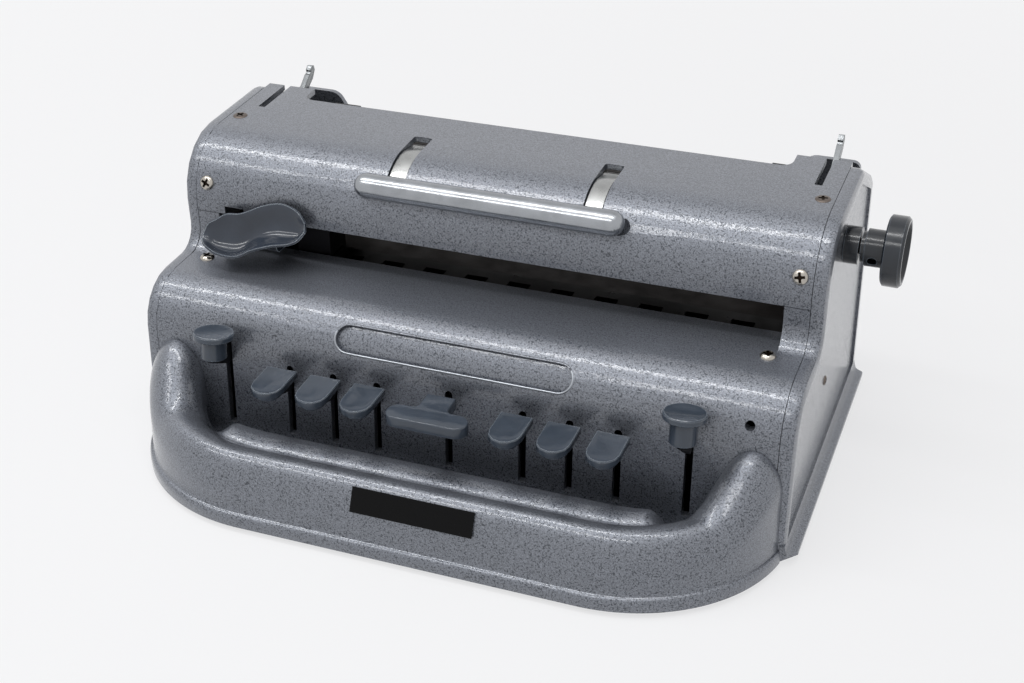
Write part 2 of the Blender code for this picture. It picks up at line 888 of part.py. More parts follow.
def make_upper_cover():
    cover = add_object("upper_cover", prism("upper_cover", cover_section(), "X", -inner_x, inner_x),
                       "hammertone")
    for side in (-1, 1):
        for edge in (-1, 1):
            x = side * strap_x + edge * (strap_width / 2 + strap_slot_play + pivot_lug_width)
            lug = box("pivot_lug", x - pivot_lug_width / 2, x + pivot_lug_width / 2,
                      pivot_y - pivot_lug_depth / 2, pivot_y + pivot_lug_depth / 2,
                      pivot_height - pivot_eye_radius, cover_height - cover_thickness / 2)
            weld_on(cover, "pivot_lug", lug)
    rod_bore = rod("pivot_bore", "X", (pivot_y, pivot_height), -inner_x, inner_x,
                   pivot_rod_radius + running_gap, 16)
    cut(cover, "pivot_bore", rod_bore)
    rear = rounded([
        (-tab_inner_x, cover_rear_y, tab_corner_radius), (tab_inner_x, cover_rear_y, tab_corner_radius),
        (tab_inner_x, tab_rear_y + overrun), (-tab_inner_x, tab_rear_y + overrun),
    ], 4)
    cut(cover, "rear_edge", prism("rear_edge", rear, "Z", cover_height / 2, cover_height + overrun))
    slots = bmesh.new()
    half = strap_width / 2 + strap_slot_play
    for side in (-1, 1):
        strap = rounded([
            (side * strap_x - half, opening_face_y), (side * strap_x + half, opening_face_y),
            (side * strap_x + half, strap_slot_rear_y, half / 3),
            (side * strap_x - half, strap_slot_rear_y, half / 3),
        ], 3)
        prism_into(slots, strap, "Z", strap_slot_bottom(), cover_height + overrun)
        lever_half = release_lever_thickness / 2 + release_slot_play
        lever = box_outline(side * release_lever_x - lever_half, side * release_lever_x + lever_half,
                            lever_slot_front_y, tab_rear_y + overrun)
        prism_into(slots, lever, "Z", cover_height / 2, cover_height + overrun)
    cut(cover, "top_slots", to_mesh("top_slots", slots))
    recess = bar_mesh("handle_recess", handle_radius + recess_clearance, handle_half_length + recess_end)
    cut(cover, "handle_recess", recess)
    notch = box("edge_notch", notch_left_x, notch_right_x, opening_face_y - overrun,
                opening_face_y + cover_thickness + overrun, opening_top - overrun,
                opening_top + notch_height)
    cut(cover, "edge_notch", notch)
    return cover


def make_base_plate():
    arc = []
    radius = rest_corner_radius - base_inset
    steps = 8
    first = math.asin(rest_corner_y / radius)
    for k in range(steps + 1):
        angle = first + (math.pi / 2 - first) * k / steps
        arc.append((rest_corner_x + radius * math.cos(angle), rest_corner_y - radius * math.sin(angle)))
    arc = [(min(x, inner_x), y + rest_front_y + rest_corner_radius - rest_corner_y) for x, y in arc]
    right = [(inner_x, rear_face_y - rear_thickness), (inner_x, 0)] + arc
    left = [(-x, y) for x, y in reversed(right)]
    mesh = prism("base_plate", right + left, "Z", ground_gap, base_top)
    return add_object("base_plate", mesh, "dark_steel")


def make_rear_panel():
    low = floor_seat
    radius = rear_corner_radius
    right = [
        (inner_x, low), (inner_x, rear_post_height, radius / 2), (rear_post_x, rear_post_height, radius),
        (rear_slope_x, rear_edge_height, radius),
    ]
    left = [(-corner[0], *corner[1:]) for corner in reversed(right)]
    outline = rounded(right + left, 4)
    panel = prism("rear_panel", outline, "Y", rear_face_y - rear_thickness, rear_face_y)
    return add_object("rear_panel", panel, "hammertone")


def make_feet():
    edge = foot_radius / 8
    profile = [(0, 0), (0, foot_radius - edge), (edge, foot_radius),
               (ground_gap - seat_gap, foot_radius), (ground_gap - seat_gap, 0)]
    for side, x in (("left", -foot_x), ("right", foot_x)):
        for end, y in (("front", foot_front_y), ("rear", foot_rear_y)):
            name = f"rubber_foot_{end}_{side}"
            add_object(name, turned(name, profile, "Z", (x, y), 16), "rubber")


def make_label():
    # The label follows the slope of the hand rest's outer face
    low_y = rest_face_y(label_bottom)
    high_y = rest_face_y(label_top)
    slope = math.atan2(high_y - low_y, label_top - label_bottom)
    face = Vector((-math.cos(slope), math.sin(slope)))
    stand = max_bulge(label_bottom, label_top) + seat_gap
    near = [Vector((low_y, label_bottom)) + face * stand, Vector((high_y, label_top)) + face * stand]
    far = [point + face * label_thickness for point in near]
    outline = [tuple(near[0]), tuple(near[1]), tuple(far[1]), tuple(far[0])]
    half = label_length / 2
    mesh = prism("label_plate", outline, "X", label_centre_x - half, label_centre_x + half)
    return add_object("label_plate", mesh, "black_print")


def rest_face_y(height):
    # Outer face of the straight part of the rest at a height below its crest
    rest, _ = hand_rest_rows(0)
    for (a0, h0), (a1, h1) in zip(rest[:-1], rest[1:]):
        if h0 <= height <= h1:
            return rest_front_y + a0 + (a1 - a0) * (height - h0) / (h1 - h0)
    return rest_front_y + rest[-1][0]


def max_bulge(low, high):
    # How far the face stands out past the straight line between two heights
    rest, _ = hand_rest_rows(0)
    y0 = rest_face_y(low)
    y1 = rest_face_y(high)
    line = Vector((y1 - y0, high - low)).normalized()
    bulge = 0
    for a, h in rest[:ledge_first_row]:
        if low < h < high:
            offset = Vector((rest_front_y + a - y0, h - low))
            bulge = max(bulge, line.x * offset.y - line.y * offset.x)
    return bulge


# Handle pieces


def handle_centre():
    angle = math.radians(handle_angle)
    reach = cover_brow_radius + handle_standoff
    return (brow_centre[0] - reach * math.cos(angle), brow_centre[1] + reach * math.sin(angle))


def bar_mesh(name, radius, half_length, segments=18):
    profile = []
    steps = 4
    for k in range(steps + 1):
        angle = math.pi / 2 * k / steps
        profile.append((-half_length + radius * (1 - math.sin(math.pi / 2 - angle)), radius * math.sin(angle)))
    profile[0] = (-half_length, 0)
    profile += [(-along, r) for along, r in reversed(profile)]
    return turned(name, profile, "X", handle_centre(), segments)


def strap_outline(grow=0):
    # The strap follows the brow just under the cover's surface, from the bar back to its eye
    outer = cover_brow_radius - strap_sink + grow
    inner = outer - strap_thickness - 2 * grow
    tip = cover_brow_radius + handle_standoff - handle_radius + strap_seat_depth + grow
    play = math.degrees(grow / cover_brow_radius)
    low = handle_angle - strap_tip_angle / 2 - play
    high = handle_angle + strap_tip_angle / 2 + play

    def at(radius, angle):
        turn = math.radians(angle)
        return (brow_centre[0] - radius * math.cos(turn), brow_centre[1] + radius * math.sin(turn))

    steps = 6
    points = [at(inner, low), at(tip, low), at(tip, high)]
    points += [at(outer, high + (90 - high) * k / steps) for k in range(steps + 1)]
    eye = []
    for k in range(7):
        angle = math.radians(70 - 160 * k / 6)
        eye.append((pivot_y + pivot_eye_radius * math.cos(angle),
                    pivot_height + pivot_eye_radius * math.sin(angle)))
    points += eye
    points += [at(inner, 90 - (90 - low) * k / steps) for k in range(steps)]
    return points


def make_handle():
    pivot = joint_empty("handle_pivot", (0, pivot_y, pivot_height))
    bar = bar_mesh("handle_bar", handle_radius, handle_half_length)
    bar = add_object("handle_bar", bar, "polished_metal",
                     pivot)
    pockets = bmesh.new()
    for name, side in (("handle_arm_left", -1), ("handle_arm_right", 1)):
        x0 = side * strap_x - strap_width / 2
        x1 = side * strap_x + strap_width / 2
        arm = add_object(name, prism(name, strap_outline(), "X", x0, x1), "polished_metal", pivot)
        cut(arm, name + "_bore", rod(name + "_bore", "X", (pivot_y, pivot_height), x0 - overrun, x1 + overrun,
                                     pivot_rod_radius + running_gap, 16))
        prism_into(pockets, strap_outline(running_gap), "X", x0 - running_gap, x1 + running_gap)
    cut(bar, "strap_pockets", to_mesh("strap_pockets", pockets))
    end = strap_x + strap_width / 2 + strap_slot_play + pivot_lug_width * 1.5
    rod_mesh = rod("handle_pivot_rod", "X", (pivot_y, pivot_height), -end, end, pivot_rod_radius)
    add_object("handle_pivot_rod", rod_mesh, "steel")


def joint_empty(name, place, parent=None):
    return add_empty(name, Vector(place), parent or root)


# Keys and their levers


def lever_outline(front_y, head_rear, front_top, blade_top, tail_y, nub_front_y=None):
    low = blade_top - lever_blade
    tail_top = lever_tail_height - nub_height
    tail_low = tail_top - lever_tail_depth
    step = slot_width
    corners = [
        (front_y, front_top), (front_y, front_top - key_groove_depth - lever_nose_show),
        (panel_foot_y, low), (panel_foot_y + panel_brow_radius, low),
        (shaft_y - lever_boss, shaft_height - lever_boss, lever_boss),
        (shaft_y + lever_boss, shaft_height - lever_boss, lever_boss),
        (tail_y, tail_low),
    ]
    if nub_front_y:
        corners += [(tail_y, lever_tail_height), (nub_front_y, lever_tail_height), (nub_front_y, tail_top)]
    else:
        corners.append((tail_y, tail_top))
    corners += [(shaft_y, shaft_height + lever_boss), (panel_foot_y + panel_brow_radius, blade_top)]
    corners += [(panel_foot_y, blade_top)]
    if front_top > blade_top:
        corners += [(head_rear + step / 2, blade_top), (head_rear, front_top)]
    return rounded(corners, 3)


def make_lever(name, x, head, front_top, blade_top, tail, pivot):
    # The head is the span of the blade, front to rear, that stands up into the key. The tail gives
    # its end and, on a dot lever, the front of the nub that lifts the bail
    half = lever_thickness / 2
    mesh = prism(name, lever_outline(*head, front_top, blade_top, *tail), "X", x - half, x + half)
    lever = add_object(name, mesh, "dark_steel", pivot)
    cut(lever, "shaft_bore", shaft_cutter)
    weld_on(lever, name + "_spring", return_spring(name + "_spring", x, tail[0]))
    return lever


def make_shaft_cutter():
    return tool_object("lever_shaft_bore", rod("lever_shaft_bore", "X", (shaft_y, shaft_height),
                                               -body_half_width, body_half_width,
                                               shaft_radius + running_gap, 12))


def dot_key_mesh(name, x):
    # Loops from the dished middle out to the rim, down the skirt and in under the step
    half = dot_key_width / 2
    steps = 6

    def loop(inset, height):
        r = half - inset
        centre_y = dot_key_front_y + half
        points = [(x + half - inset, dot_key_rear_y - inset), (x - half + inset, dot_key_rear_y - inset)]
        for k in range(steps + 1):
            angle = math.pi + math.pi * k / steps
            points.append((x + r * math.cos(angle), centre_y + r * math.sin(angle)))
        return [(a, b, height) for a, b in points]

    top = dot_key_top
    bottom = top - dot_key_thickness
    step = dot_key_step
    waist = top - dot_key_waist
    loops = [
        loop(half * 0.75, top - dot_key_dish), loop(half * 0.4, top - dot_key_dish * 0.6),
        loop(step, top - step / 4), loop(step / 3, top), loop(0, top - step / 2), loop(0, waist),
        loop(step, waist - step / 2), loop(step * 1.2, bottom + step), loop(step * 2, bottom),
    ]
    return lofted(name, loops)


def key_groove(name, x, y0, y1, bottom, top):
    half = lever_thickness / 2 + running_gap
    return box(name, x - half, x + half, y0 - running_gap, y1 + running_gap, bottom - overrun,
               top + running_gap)


def make_dot_keys():
    places = [-x for x in reversed(dot_key_x)] + list(dot_key_x)
    # Keys three, two and one lie left of the space key and four, five and six lie right of it
    numbers = (3, 2, 1, 4, 5, 6)
    bottom = dot_key_top - dot_key_thickness
    blade_end = bottom + key_groove_depth
    front = dot_key_front_y + dot_key_step * 3
    rear = front + lever_blade
    for number, x in zip(numbers, places):
        pivot = joint_empty(f"dot_key_{number}_pivot", (x, shaft_y, shaft_height))
        key = add_object(f"dot_key_{number}", dot_key_mesh(f"dot_key_{number}", x), "key_plastic", pivot)
        cut(key, "blade_groove", key_groove(f"dot_groove_{number}", x, front, dot_key_rear_y + overrun, bottom,
                                             blade_end))
        half = bail_thickness / 2
        tail = bail_y(number) + half + nub_rear_play, bail_y(number) - half - nub_front_play
        make_lever(f"dot_lever_{number}", x, (front, rear), blade_end, dot_blade_top, tail, pivot)
        make_bail(number, x)


def make_space_key():
    pivot = joint_empty("space_key_pivot", (0, shaft_y, shaft_height))
    neck = space_neck_width / 2
    end = space_bar_depth / 2
    outline = [
        (-space_half_length, space_front_y, end), (space_half_length, space_front_y, end),
        (space_half_length, space_front_y + space_bar_depth, end),
        (neck, space_front_y + space_bar_depth, end / 2), (neck, space_rear_y), (-neck, space_rear_y),
        (-neck, space_front_y + space_bar_depth, end / 2),
        (-space_half_length, space_front_y + space_bar_depth, end),
    ]
    bottom = space_top - dot_key_thickness
    mesh = prism("space_key", rounded(outline, 4), "Z", bottom, space_top)
    key = add_object("space_key", mesh, "key_plastic", pivot)
    soften(key, dot_key_step / 2, 1, 50)
    front = space_front_y + dot_key_step * 3
    rear = front + lever_blade
    blade_end = bottom + key_groove_depth
    cut(key, "blade_groove", key_groove("space_groove", 0, front, space_rear_y + overrun, bottom, blade_end))
    make_lever("space_lever", 0, (front, rear), blade_end, space_blade_top, (command_tail_y,), pivot)


def make_button(name, lever_name, x, top, stem_bottom):
    pivot = joint_empty(name + "_pivot", (x, shaft_y, shaft_height))
    edge = button_disc / 5
    under = top - button_disc
    profile = [
        (stem_bottom, 0), (stem_bottom, button_stem_radius - edge), (stem_bottom + edge, button_stem_radius),
        (under, button_stem_radius), (under, button_radius - edge), (under + edge, button_radius),
        (top - edge, button_radius), (top, button_radius - edge), (top - edge, button_radius * 0.7),
        (top - button_dish, 0),
    ]
    mesh = turned(name, profile, "Z", (x, button_y), 20)
    # The button leans back about the middle of its top, so its foot stands further forward
    middle = Vector((x, button_y, top))
    lean = Matrix.Rotation(math.radians(-button_tilt), 4, "X")
    mesh.transform(Matrix.Translation(middle) @ lean @ Matrix.Translation(-middle))
    button = add_object(name, mesh, "key_plastic", pivot)
    foot_y = button_y - (top - stem_bottom) * math.sin(math.radians(button_tilt))
    front = foot_y - button_stem_radius * 0.6
    rear = foot_y + button_stem_radius * 0.6
    blade_end = stem_bottom + key_groove_depth
    cut(button, "blade_groove", key_groove(name + "_groove", x, front, button_y + button_radius, stem_bottom,
                                           blade_end))
    make_lever(lever_name, x, (front, rear), blade_end, button_blade_top, (command_tail_y,), pivot)


def return_spring(name, x, tail_y):
    # A close-wound spring that hangs from the lever's tail down to the base plate
    top = tail_bottom(spring_y, tail_y) + spring_radius
    hook = spring_radius * 2
    profile = [(floor_seat, 0), (floor_seat, spring_wire), (floor_seat + hook, spring_wire),
               (floor_seat + hook, spring_radius), (top, spring_radius), (top, 0)]
    return turned(name, profile, "Z", (x, spring_y), 6)


def make_key_shaft():
    mesh = rod("key_shaft", "X", (shaft_y, shaft_height), -span_x, span_x, shaft_radius, 12)
    add_object("key_shaft", mesh, "steel")


def tail_bottom(y, tail_y):
    # Height of a lever's lower edge between its boss and the end of its tail
    start = shaft_y + lever_boss
    low = shaft_height - lever_boss
    end_low = lever_tail_height - nub_height - lever_tail_depth
    return low + (end_low - low) * (y - start) / (tail_y - start)


# Embossing bails


def bail_y(number):
    return bail_first_y + bail_pitch * (number - 1)


def make_bail(number, x):
    # A flat bar on edge, with one foot in its own plane that stands over its lever's nub
    y = bail_y(number)
    half = bail_thickness / 2
    name = f"embossing_bail_{number}"
    pivot = joint_empty(name + "_slide", (0, y, bail_bottom))
    foot_bottom = lever_tail_height + seat_gap
    foot_half = bail_foot_width / 2
    outline = [
        (-span_x, bail_bottom), (x - foot_half, bail_bottom), (x - foot_half, foot_bottom),
        (x + foot_half, foot_bottom), (x + foot_half, bail_bottom), (span_x, bail_bottom),
        (span_x, bail_top), (-span_x, bail_top),
    ]
    add_object(name, prism(name, outline, "Y", y - half, y + half), "dark_steel", pivot)


def bail_guide(name, side):
    # A slotted comb inside the end plate that keeps the six bails upright
    first = bail_y(1) - bail_thickness / 2 - guide_margin
    last = bail_y(6) + bail_thickness / 2 + guide_margin
    half = bail_thickness / 2 + slide_gap
    guide_bottom = bail_bottom - guide_depth
    guide_top = bail_top + guide_rise
    outline = [(first, guide_bottom), (last, guide_bottom), (last, guide_top)]
    for number in range(6, 0, -1):
        y = bail_y(number)
        outline += [(y + half, guide_top), (y + half, bail_bottom - seat_gap),
                    (y - half, bail_bottom - seat_gap), (y - half, guide_top)]
    outline.append((first, guide_top))
    return prism(name, outline, "X", side * guide_inner_x, side * (inner_x + plate_recess))


# Carriage, rail and rack


def make_rack():
    outline = [(-span_x, rack_rear_y), (-span_x, rack_front_y)]
    start = -rack_pitch * (rack_notch_count - 1) / 2
    half = rack_notch_width / 2
    for k in range(rack_notch_count):
        x = start + rack_pitch * k
        outline += [(x - half, rack_front_y), (x - half, rack_front_y + rack_notch_depth),
                    (x + half, rack_front_y + rack_notch_depth), (x + half, rack_front_y)]
    outline += [(span_x, rack_front_y), (span_x, rack_rear_y)]
    add_object("escapement_rack", prism("escapement_rack", outline, "Z", rack_bottom, rack_top), "steel")


def make_carriage():
    slide = joint_empty("carriage_slide", (carriage_left_x + carriage_width / 2, rail_y, rail_height))
    left = carriage_left_x
    right = left + carriage_width
    back_y = rack_rear_y + slide_gap * 2
    back_end = back_y + carriage_back_thickness
    block_low = rack_top + slide_gap
    block_top = carriage_top
    jaw_y = back_end + jaw_reach
    foot_low = rail_height - carriage_foot_drop
    upper_low = block_top - upper_jaw_thickness
    rack_low = rack_bottom - slide_gap * 2
    outline = rounded([
        (carriage_block_front_y, block_low), (back_y, block_low), (back_y, rack_low),
        (carriage_block_front_y, rack_low), (carriage_block_front_y, foot_low, carriage_round),
        (back_y, foot_low), (back_y, jaw_bottom), (jaw_y, jaw_bottom, carriage_round),
        (jaw_y, jaw_top, carriage_round), (back_end, jaw_top), (back_end, upper_low),
        (jaw_y, upper_low, carriage_round), (jaw_y, block_top, carriage_round),
        (carriage_block_front_y, block_top, carriage_round),
    ], 3)
    body = add_object("carriage_body", prism("carriage_body", outline, "X", left, right), "dark_steel",
                      slide)
    bore = rod("rail_bore", "X", (rail_y, rail_height), left - overrun, right + overrun,
               rail_radius + slide_gap, 20)
    cut(body, "rail_bore", bore)
    arm_half = lever_arm_width / 2 + lever_slot_play
    slot = box("lever_slot", lever_arm_x - arm_half, lever_arm_x + arm_half,
               carriage_block_front_y - overrun, back_y - slide_gap, block_low - overrun,
               block_top + overrun)
    cut(body, "lever_slot", slot)
    pin_bore = rod("lever_pin_bore", "X", (lever_pin_y, lever_pin_height), left + carriage_round,
                   right - carriage_round, lever_pin_radius + running_gap, 16)
    cut(body, "lever_pin_bore", pin_bore)
    middle = (left + right) / 2
    pins = bmesh.new()
    for number in range(1, 7):
        x = middle + pin_spread_x * (number - 3.5)
        y = bail_y(number)
        low = jaw_bottom - pin_hang
        turned_into(pins, rod_profile(low, low + pin_length, pin_radius), "Z", (x, y), 6)
    weld_on(body, "embossing_pins", to_mesh("embossing_pins", pins))
    make_carriage_lever(slide)
    mesh = rod("carriage_rail", "X", (rail_y, rail_height), -span_x, span_x, rail_radius, 20)
    add_object("carriage_rail", mesh, "steel")


# A power below one squares the bowl's section off into a back wall and a floor
scoop_bow_share = 0.75
# Shares along the scoop from its left end: its upper and lower rims as shares of its rise,
# and how far back each rim lies as a share of its depth
scoop_shares = (
    (0.000, 0.277, 0.200, 0.47, 0.37),
    (0.045, 0.476, 0.146, 0.58, 0.21),
    (0.115, 0.560, 0.080, 0.68, 0.11),
    (0.206, 0.673, 0.025, 0.79, 0.03),
    (0.330, 0.700, 0.012, 0.84, 0.00),
    (0.430, 0.780, 0.070, 0.89, 0.04),
    (0.565, 0.913, 0.260, 0.95, 0.09),
    (0.705, 0.993, 0.350, 1.00, 0.20),
    (0.795, 0.993, 0.375, 1.00, 0.30),
    (0.885, 0.931, 0.390, 1.00, 0.40),
    (0.952, 0.836, 0.430, 0.95, 0.58),
    (1.000, 0.700, 0.560, 0.90, 0.78),
)


def scoop_mesh(name):
    # Cross curves from the upper rim to the lower rim, bowed back and down, then given a wall
    bm = bmesh.new()
    steps = 6
    rows = []
    for along, high, low, high_y, low_y in scoop_shares:
        x = scoop_left_x + scoop_length * along
        upper = Vector((scoop_front_y + scoop_depth * high_y, scoop_low_height + scoop_rise * high))
        lower = Vector((scoop_front_y + scoop_depth * low_y, scoop_low_height + scoop_rise * low))
        chord = lower - upper
        bow = Vector((-chord.y, chord.x)).normalized()
        if bow.x < 0:
            bow = -bow
        depth = scoop_bowl * min(chord.length / (scoop_rise * 0.62), 1)
        row = []
        for k in range(steps + 1):
            t = k / steps
            point = upper + chord * t + bow * depth * math.sin(math.pi * t) ** scoop_bow_share
            row.append(bm.verts.new((x, *point)))
        rows.append(row)
    for left, right in zip(rows[:-1], rows[1:]):
        for k in range(steps):
            bm.faces.new((left[k], right[k], right[k + 1], left[k + 1]))
    bmesh.ops.recalc_face_normals(bm, faces=bm.faces)
    middle = bm.faces[:][len(bm.faces) // 2]
    # The wall is laid on the back, so the finger side keeps the rims' places
    if middle.normal.y > 0:
        bmesh.ops.reverse_faces(bm, faces=bm.faces[:])
    mesh = bpy.data.meshes.new(name)
    bm.normal_update()
    skin = [(vert.co.copy(), vert.normal.copy()) for vert in bm.verts]
    bm.verts.index_update()
    backs = [bm.verts.new(co - normal * scoop_wall) for co, normal in skin]
    bm.verts.ensure_lookup_table()
    faces = [[v.index for v in face.verts] for face in bm.faces]
    edges = [[v.index for v in edge.verts] for edge in bm.edges if edge.is_boundary]
    for face in faces:
        bm.faces.new([backs[i] for i in reversed(face)])
    for a, b in edges:
        bm.faces.new([bm.verts[a], bm.verts[b], backs[b], backs[a]])
    bmesh.ops.recalc_face_normals(bm, faces=bm.faces)
    bm.to_mesh(mesh)
    bm.free()
    shade(mesh, 50)
    return mesh


def make_carriage_lever(slide):
    offset = Vector((lever_arm_x, lever_pin_y, lever_pin_height))
    pivot = joint_empty("carriage_lever_pivot", offset - slide.location, slide)
    mesh = scoop_mesh("carriage_lever")
    lever = bpy.data.objects.new("carriage_lever", mesh)
    bpy.context.scene.collection.objects.link(lever)
    mesh.materials.append(make_material("carriage_lever_finish", *finishes["key_plastic"]))
    lever.parent = pivot
    mesh.transform(Matrix.Translation(-offset))
    half = lever_arm_width / 2
    low = lever_pin_height - lever_arm_thickness / 2
    high = lever_pin_height + lever_arm_thickness / 2
    # The arm rises to the underside of the scoop just in front of the cover's edge
    wall_top = scoop_low_height + scoop_rise * 0.34
    arm = rounded([
        (scoop_front_y + scoop_depth * 0.66, wall_top),
        (scoop_front_y + scoop_depth * 0.80, low, lever_arm_thickness / 2),
        (lever_pin_y + lever_pin_radius * 2, low, lever_pin_radius),
        (lever_pin_y + lever_pin_radius * 2, high, lever_pin_radius),
        (scoop_front_y + scoop_depth * 1.18, high, lever_pin_radius),
        (scoop_front_y + scoop_depth * 1.09, wall_top + scoop_wall),
    ], 3)
    arm_mesh = prism("lever_arm", arm, "X", lever_arm_x - half, lever_arm_x + half)
    weld_on(lever, "lever_arm", arm_mesh)
    pin = rod("lever_pin", "X", (lever_pin_y, lever_pin_height), lever_arm_x - half * 2,
              lever_arm_x + half * 2, lever_pin_radius, 16)
    weld_on(lever, "lever_pin", pin)


# Paper feed


def make_paper_feed():
    turn = joint_empty("feed_turn", (0, roller_y, roller_height))
    centre = (roller_y, roller_height)
    bore = roller_shaft_radius + seat_gap
    edge = roller_radius / 8
    half = roller_half_length
    roller = turned("feed_roller", [
        (-half, bore), (-half, roller_radius - edge), (-half + edge, roller_radius),
        (half - edge, roller_radius), (half, roller_radius - edge), (half, bore),
    ], "X", centre, 24, True)
    add_object("feed_roller", roller, "rubber", turn)
    floor_x = knob_reach - knob_dish
    shaft_end = floor_x - knob_floor - seat_gap
    shaft = rod("roller_shaft", "X", centre, -span_x, shaft_end, roller_shaft_radius, 20)
    add_object("roller_shaft", shaft, "steel", turn)
    edge = knob_edge
    knob = turned("feed_knob", [
        (shaft_end + seat_gap, 0), (shaft_end + seat_gap, bore), (knob_neck_x, bore), (knob_neck_x, knob_neck_radius),
        (knob_hub_x, knob_neck_radius), (knob_hub_x + edge / 3, knob_hub_radius), (knob_disc_x, knob_hub_radius),
        (knob_disc_x + edge / 3, knob_radius - edge), (knob_disc_x + edge, knob_radius),
        (knob_reach - edge, knob_radius), (knob_reach, knob_radius - edge),
        (knob_reach, knob_dish_radius + edge / 2), (floor_x, knob_dish_radius - edge / 2), (floor_x, 0),
    ], "X", centre, 24)
    knob_obj = add_object("feed_knob", knob, "knob_plastic", turn)
    screw_x = (knob_hub_x + knob_disc_x) / 2
    screw = rod("set_screw_hole", "Z", (screw_x, 0), knob_hub_radius - set_screw_depth,
                knob_hub_radius + overrun, set_screw_radius, 12)
    screw.transform(Matrix.Translation((0, *centre)) @ Matrix.Rotation(math.radians(110), 4, "X"))
    cut(knob_obj, "set_screw_hole", screw)
    face_x = body_half_width - plate_recess + seat_gap
    neck_start = body_half_width - end_plate_thickness
    running = roller_shaft_radius + running_gap
    bushing = turned("knob_bushing", [
        (neck_start, running), (neck_start, bushing_neck_radius), (face_x, bushing_neck_radius),
        (face_x, knob_hub_radius), (bushing_end, knob_hub_radius), (bushing_end, running),
    ], "X", centre, 24, True)
    add_object("knob_bushing", bushing, "knob_plastic")
    wheel = []
    for k in range(ratchet_teeth):
        for share, radius in ((0, ratchet_radius), (0.82, ratchet_radius - ratchet_tooth)):
            angle = 2 * math.pi * (k + share) / ratchet_teeth
            wheel.append((roller_y + radius * math.cos(angle), roller_height + radius * math.sin(angle)))
    start = ratchet_x
    mesh = prism("ratchet_wheel", wheel, "X", start, start + ratchet_thickness)
    ratchet = add_object("ratchet_wheel", mesh, "steel", turn)
    cut(ratchet, "ratchet_bore", rod("ratchet_bore", "X", centre, start - overrun,
                                     start + ratchet_thickness + overrun, bore, 20))


def bushing_bore():
    return rod("bushing_bore", "X", (roller_y, roller_height), body_half_width - end_plate_thickness - overrun,
               body_half_width + overrun, bushing_neck_radius + seat_gap, 24)


# Paper release


def release_lever_outline():
    lean = math.radians(release_lean)
    along = Vector((math.cos(lean), math.sin(lean)))
    across = Vector((-along.y, along.x))
    base = Vector((release_y, release_height))
    half = release_lever_width / 2
    length = release_lever_length
    hook = release_hook
    notch = release_notch
    # Places along and across the lever from its pivot; across is towards the front
    places = [
        (release_eye_radius, -half * 0.8), (length * 0.72, -half * 0.8), (length * 0.86, -half),
        (length - hook / 3, -half * 0.5), (length, half * 0.35), (length - hook / 2, half * 1.1),
        (length - hook * 1.4, half * 1.05), (length - hook * 1.5, half - notch),
        (length - hook * 2.0, half - notch), (length - hook * 2.1, half * 0.8),
        (release_eye_radius, half * 0.8),
    ]
    points = [tuple(base + along * a + across * b) for a, b in places]
    eye = []
    first = math.degrees(math.atan2(half * 0.8, release_eye_radius))
    for k in range(1, 8):
        angle = lean + math.radians(first + (360 - 2 * first) * k / 8)
        spoke = Vector((math.cos(angle), math.sin(angle))) * release_eye_radius
        eye.append(tuple(base + spoke))
    return points + eye


def make_paper_release():
    pivot = joint_empty("release_pivot", (0, release_y, release_height))
    bore = release_radius + seat_gap
    centre = (release_y, release_height)
    half = release_lever_thickness / 2
    for name, side in (("release_lever_left", -1), ("release_lever_right", 1)):
        x = side * release_lever_x
        mesh = prism(name, release_lever_outline(), "X", x - half, x + half)
        lever = add_object(name, mesh, "polished_metal", pivot)
        cut(lever, name + "_bore", rod(name + "_bore", "X", centre, x - half - overrun, x + half + overrun,
                                       bore, 16))
    shaft = rod("release_shaft", "X", centre, -span_x, span_x, release_radius, 12)
    frame = add_object("release_shaft", shaft, "steel", pivot)
    arms = bmesh.new()
    reach = Vector((press_y - release_y, press_height - release_height))
    along = reach.normalized()
    across = Vector((-along.y, along.x)) * press_arm_width / 2
    base = Vector(centre)
    start = base - along * release_radius
    end = base + reach + along * press_rod_radius * 1.5
    outline = [tuple(start + across), tuple(end + across), tuple(end - across), tuple(start - across)]
    arm_half = release_lever_thickness / 2
    for x in press_arm_x:
        prism_into(arms, outline, "X", x - arm_half, x + arm_half)
    weld_on(frame, "press_arms", to_mesh("press_arms", arms))
    ends = press_arm_x[0] - arm_half, press_arm_x[-1] + arm_half
    press_rod = rod("press_rod", "X", (press_y, press_height), *ends, press_rod_radius, 12)
    weld_on(frame, "press_rod", press_rod)
    distance = math.hypot(press_y - roller_y, press_height - roller_height)
    press_radius = distance - roller_radius - seat_gap
    rollers = bmesh.new()
    for x in press_roller_x:
        low, high = x - press_roller_length / 2, x + press_roller_length / 2
        turned_into(rollers, rod_profile(low, high, press_radius), "X", (press_y, press_height), 14)
    weld_on(frame, "pressure_rollers", to_mesh("pressure_rollers", rollers))


def make_paper_table():
    low = table_height - table_thickness
    over = [(table_front_y, low), (table_bend_y, low, table_bend_radius + table_thickness),
            (table_rear_y, table_rear_height - table_thickness)]
    back = [(table_rear_y, table_rear_height), (table_bend_y, table_height, table_bend_radius),
            (table_front_y, table_height)]
    outline = rounded(over + back, 4)
    add_object("paper_table", prism("paper_table", outline, "X", -span_x, span_x), "brown_steel")


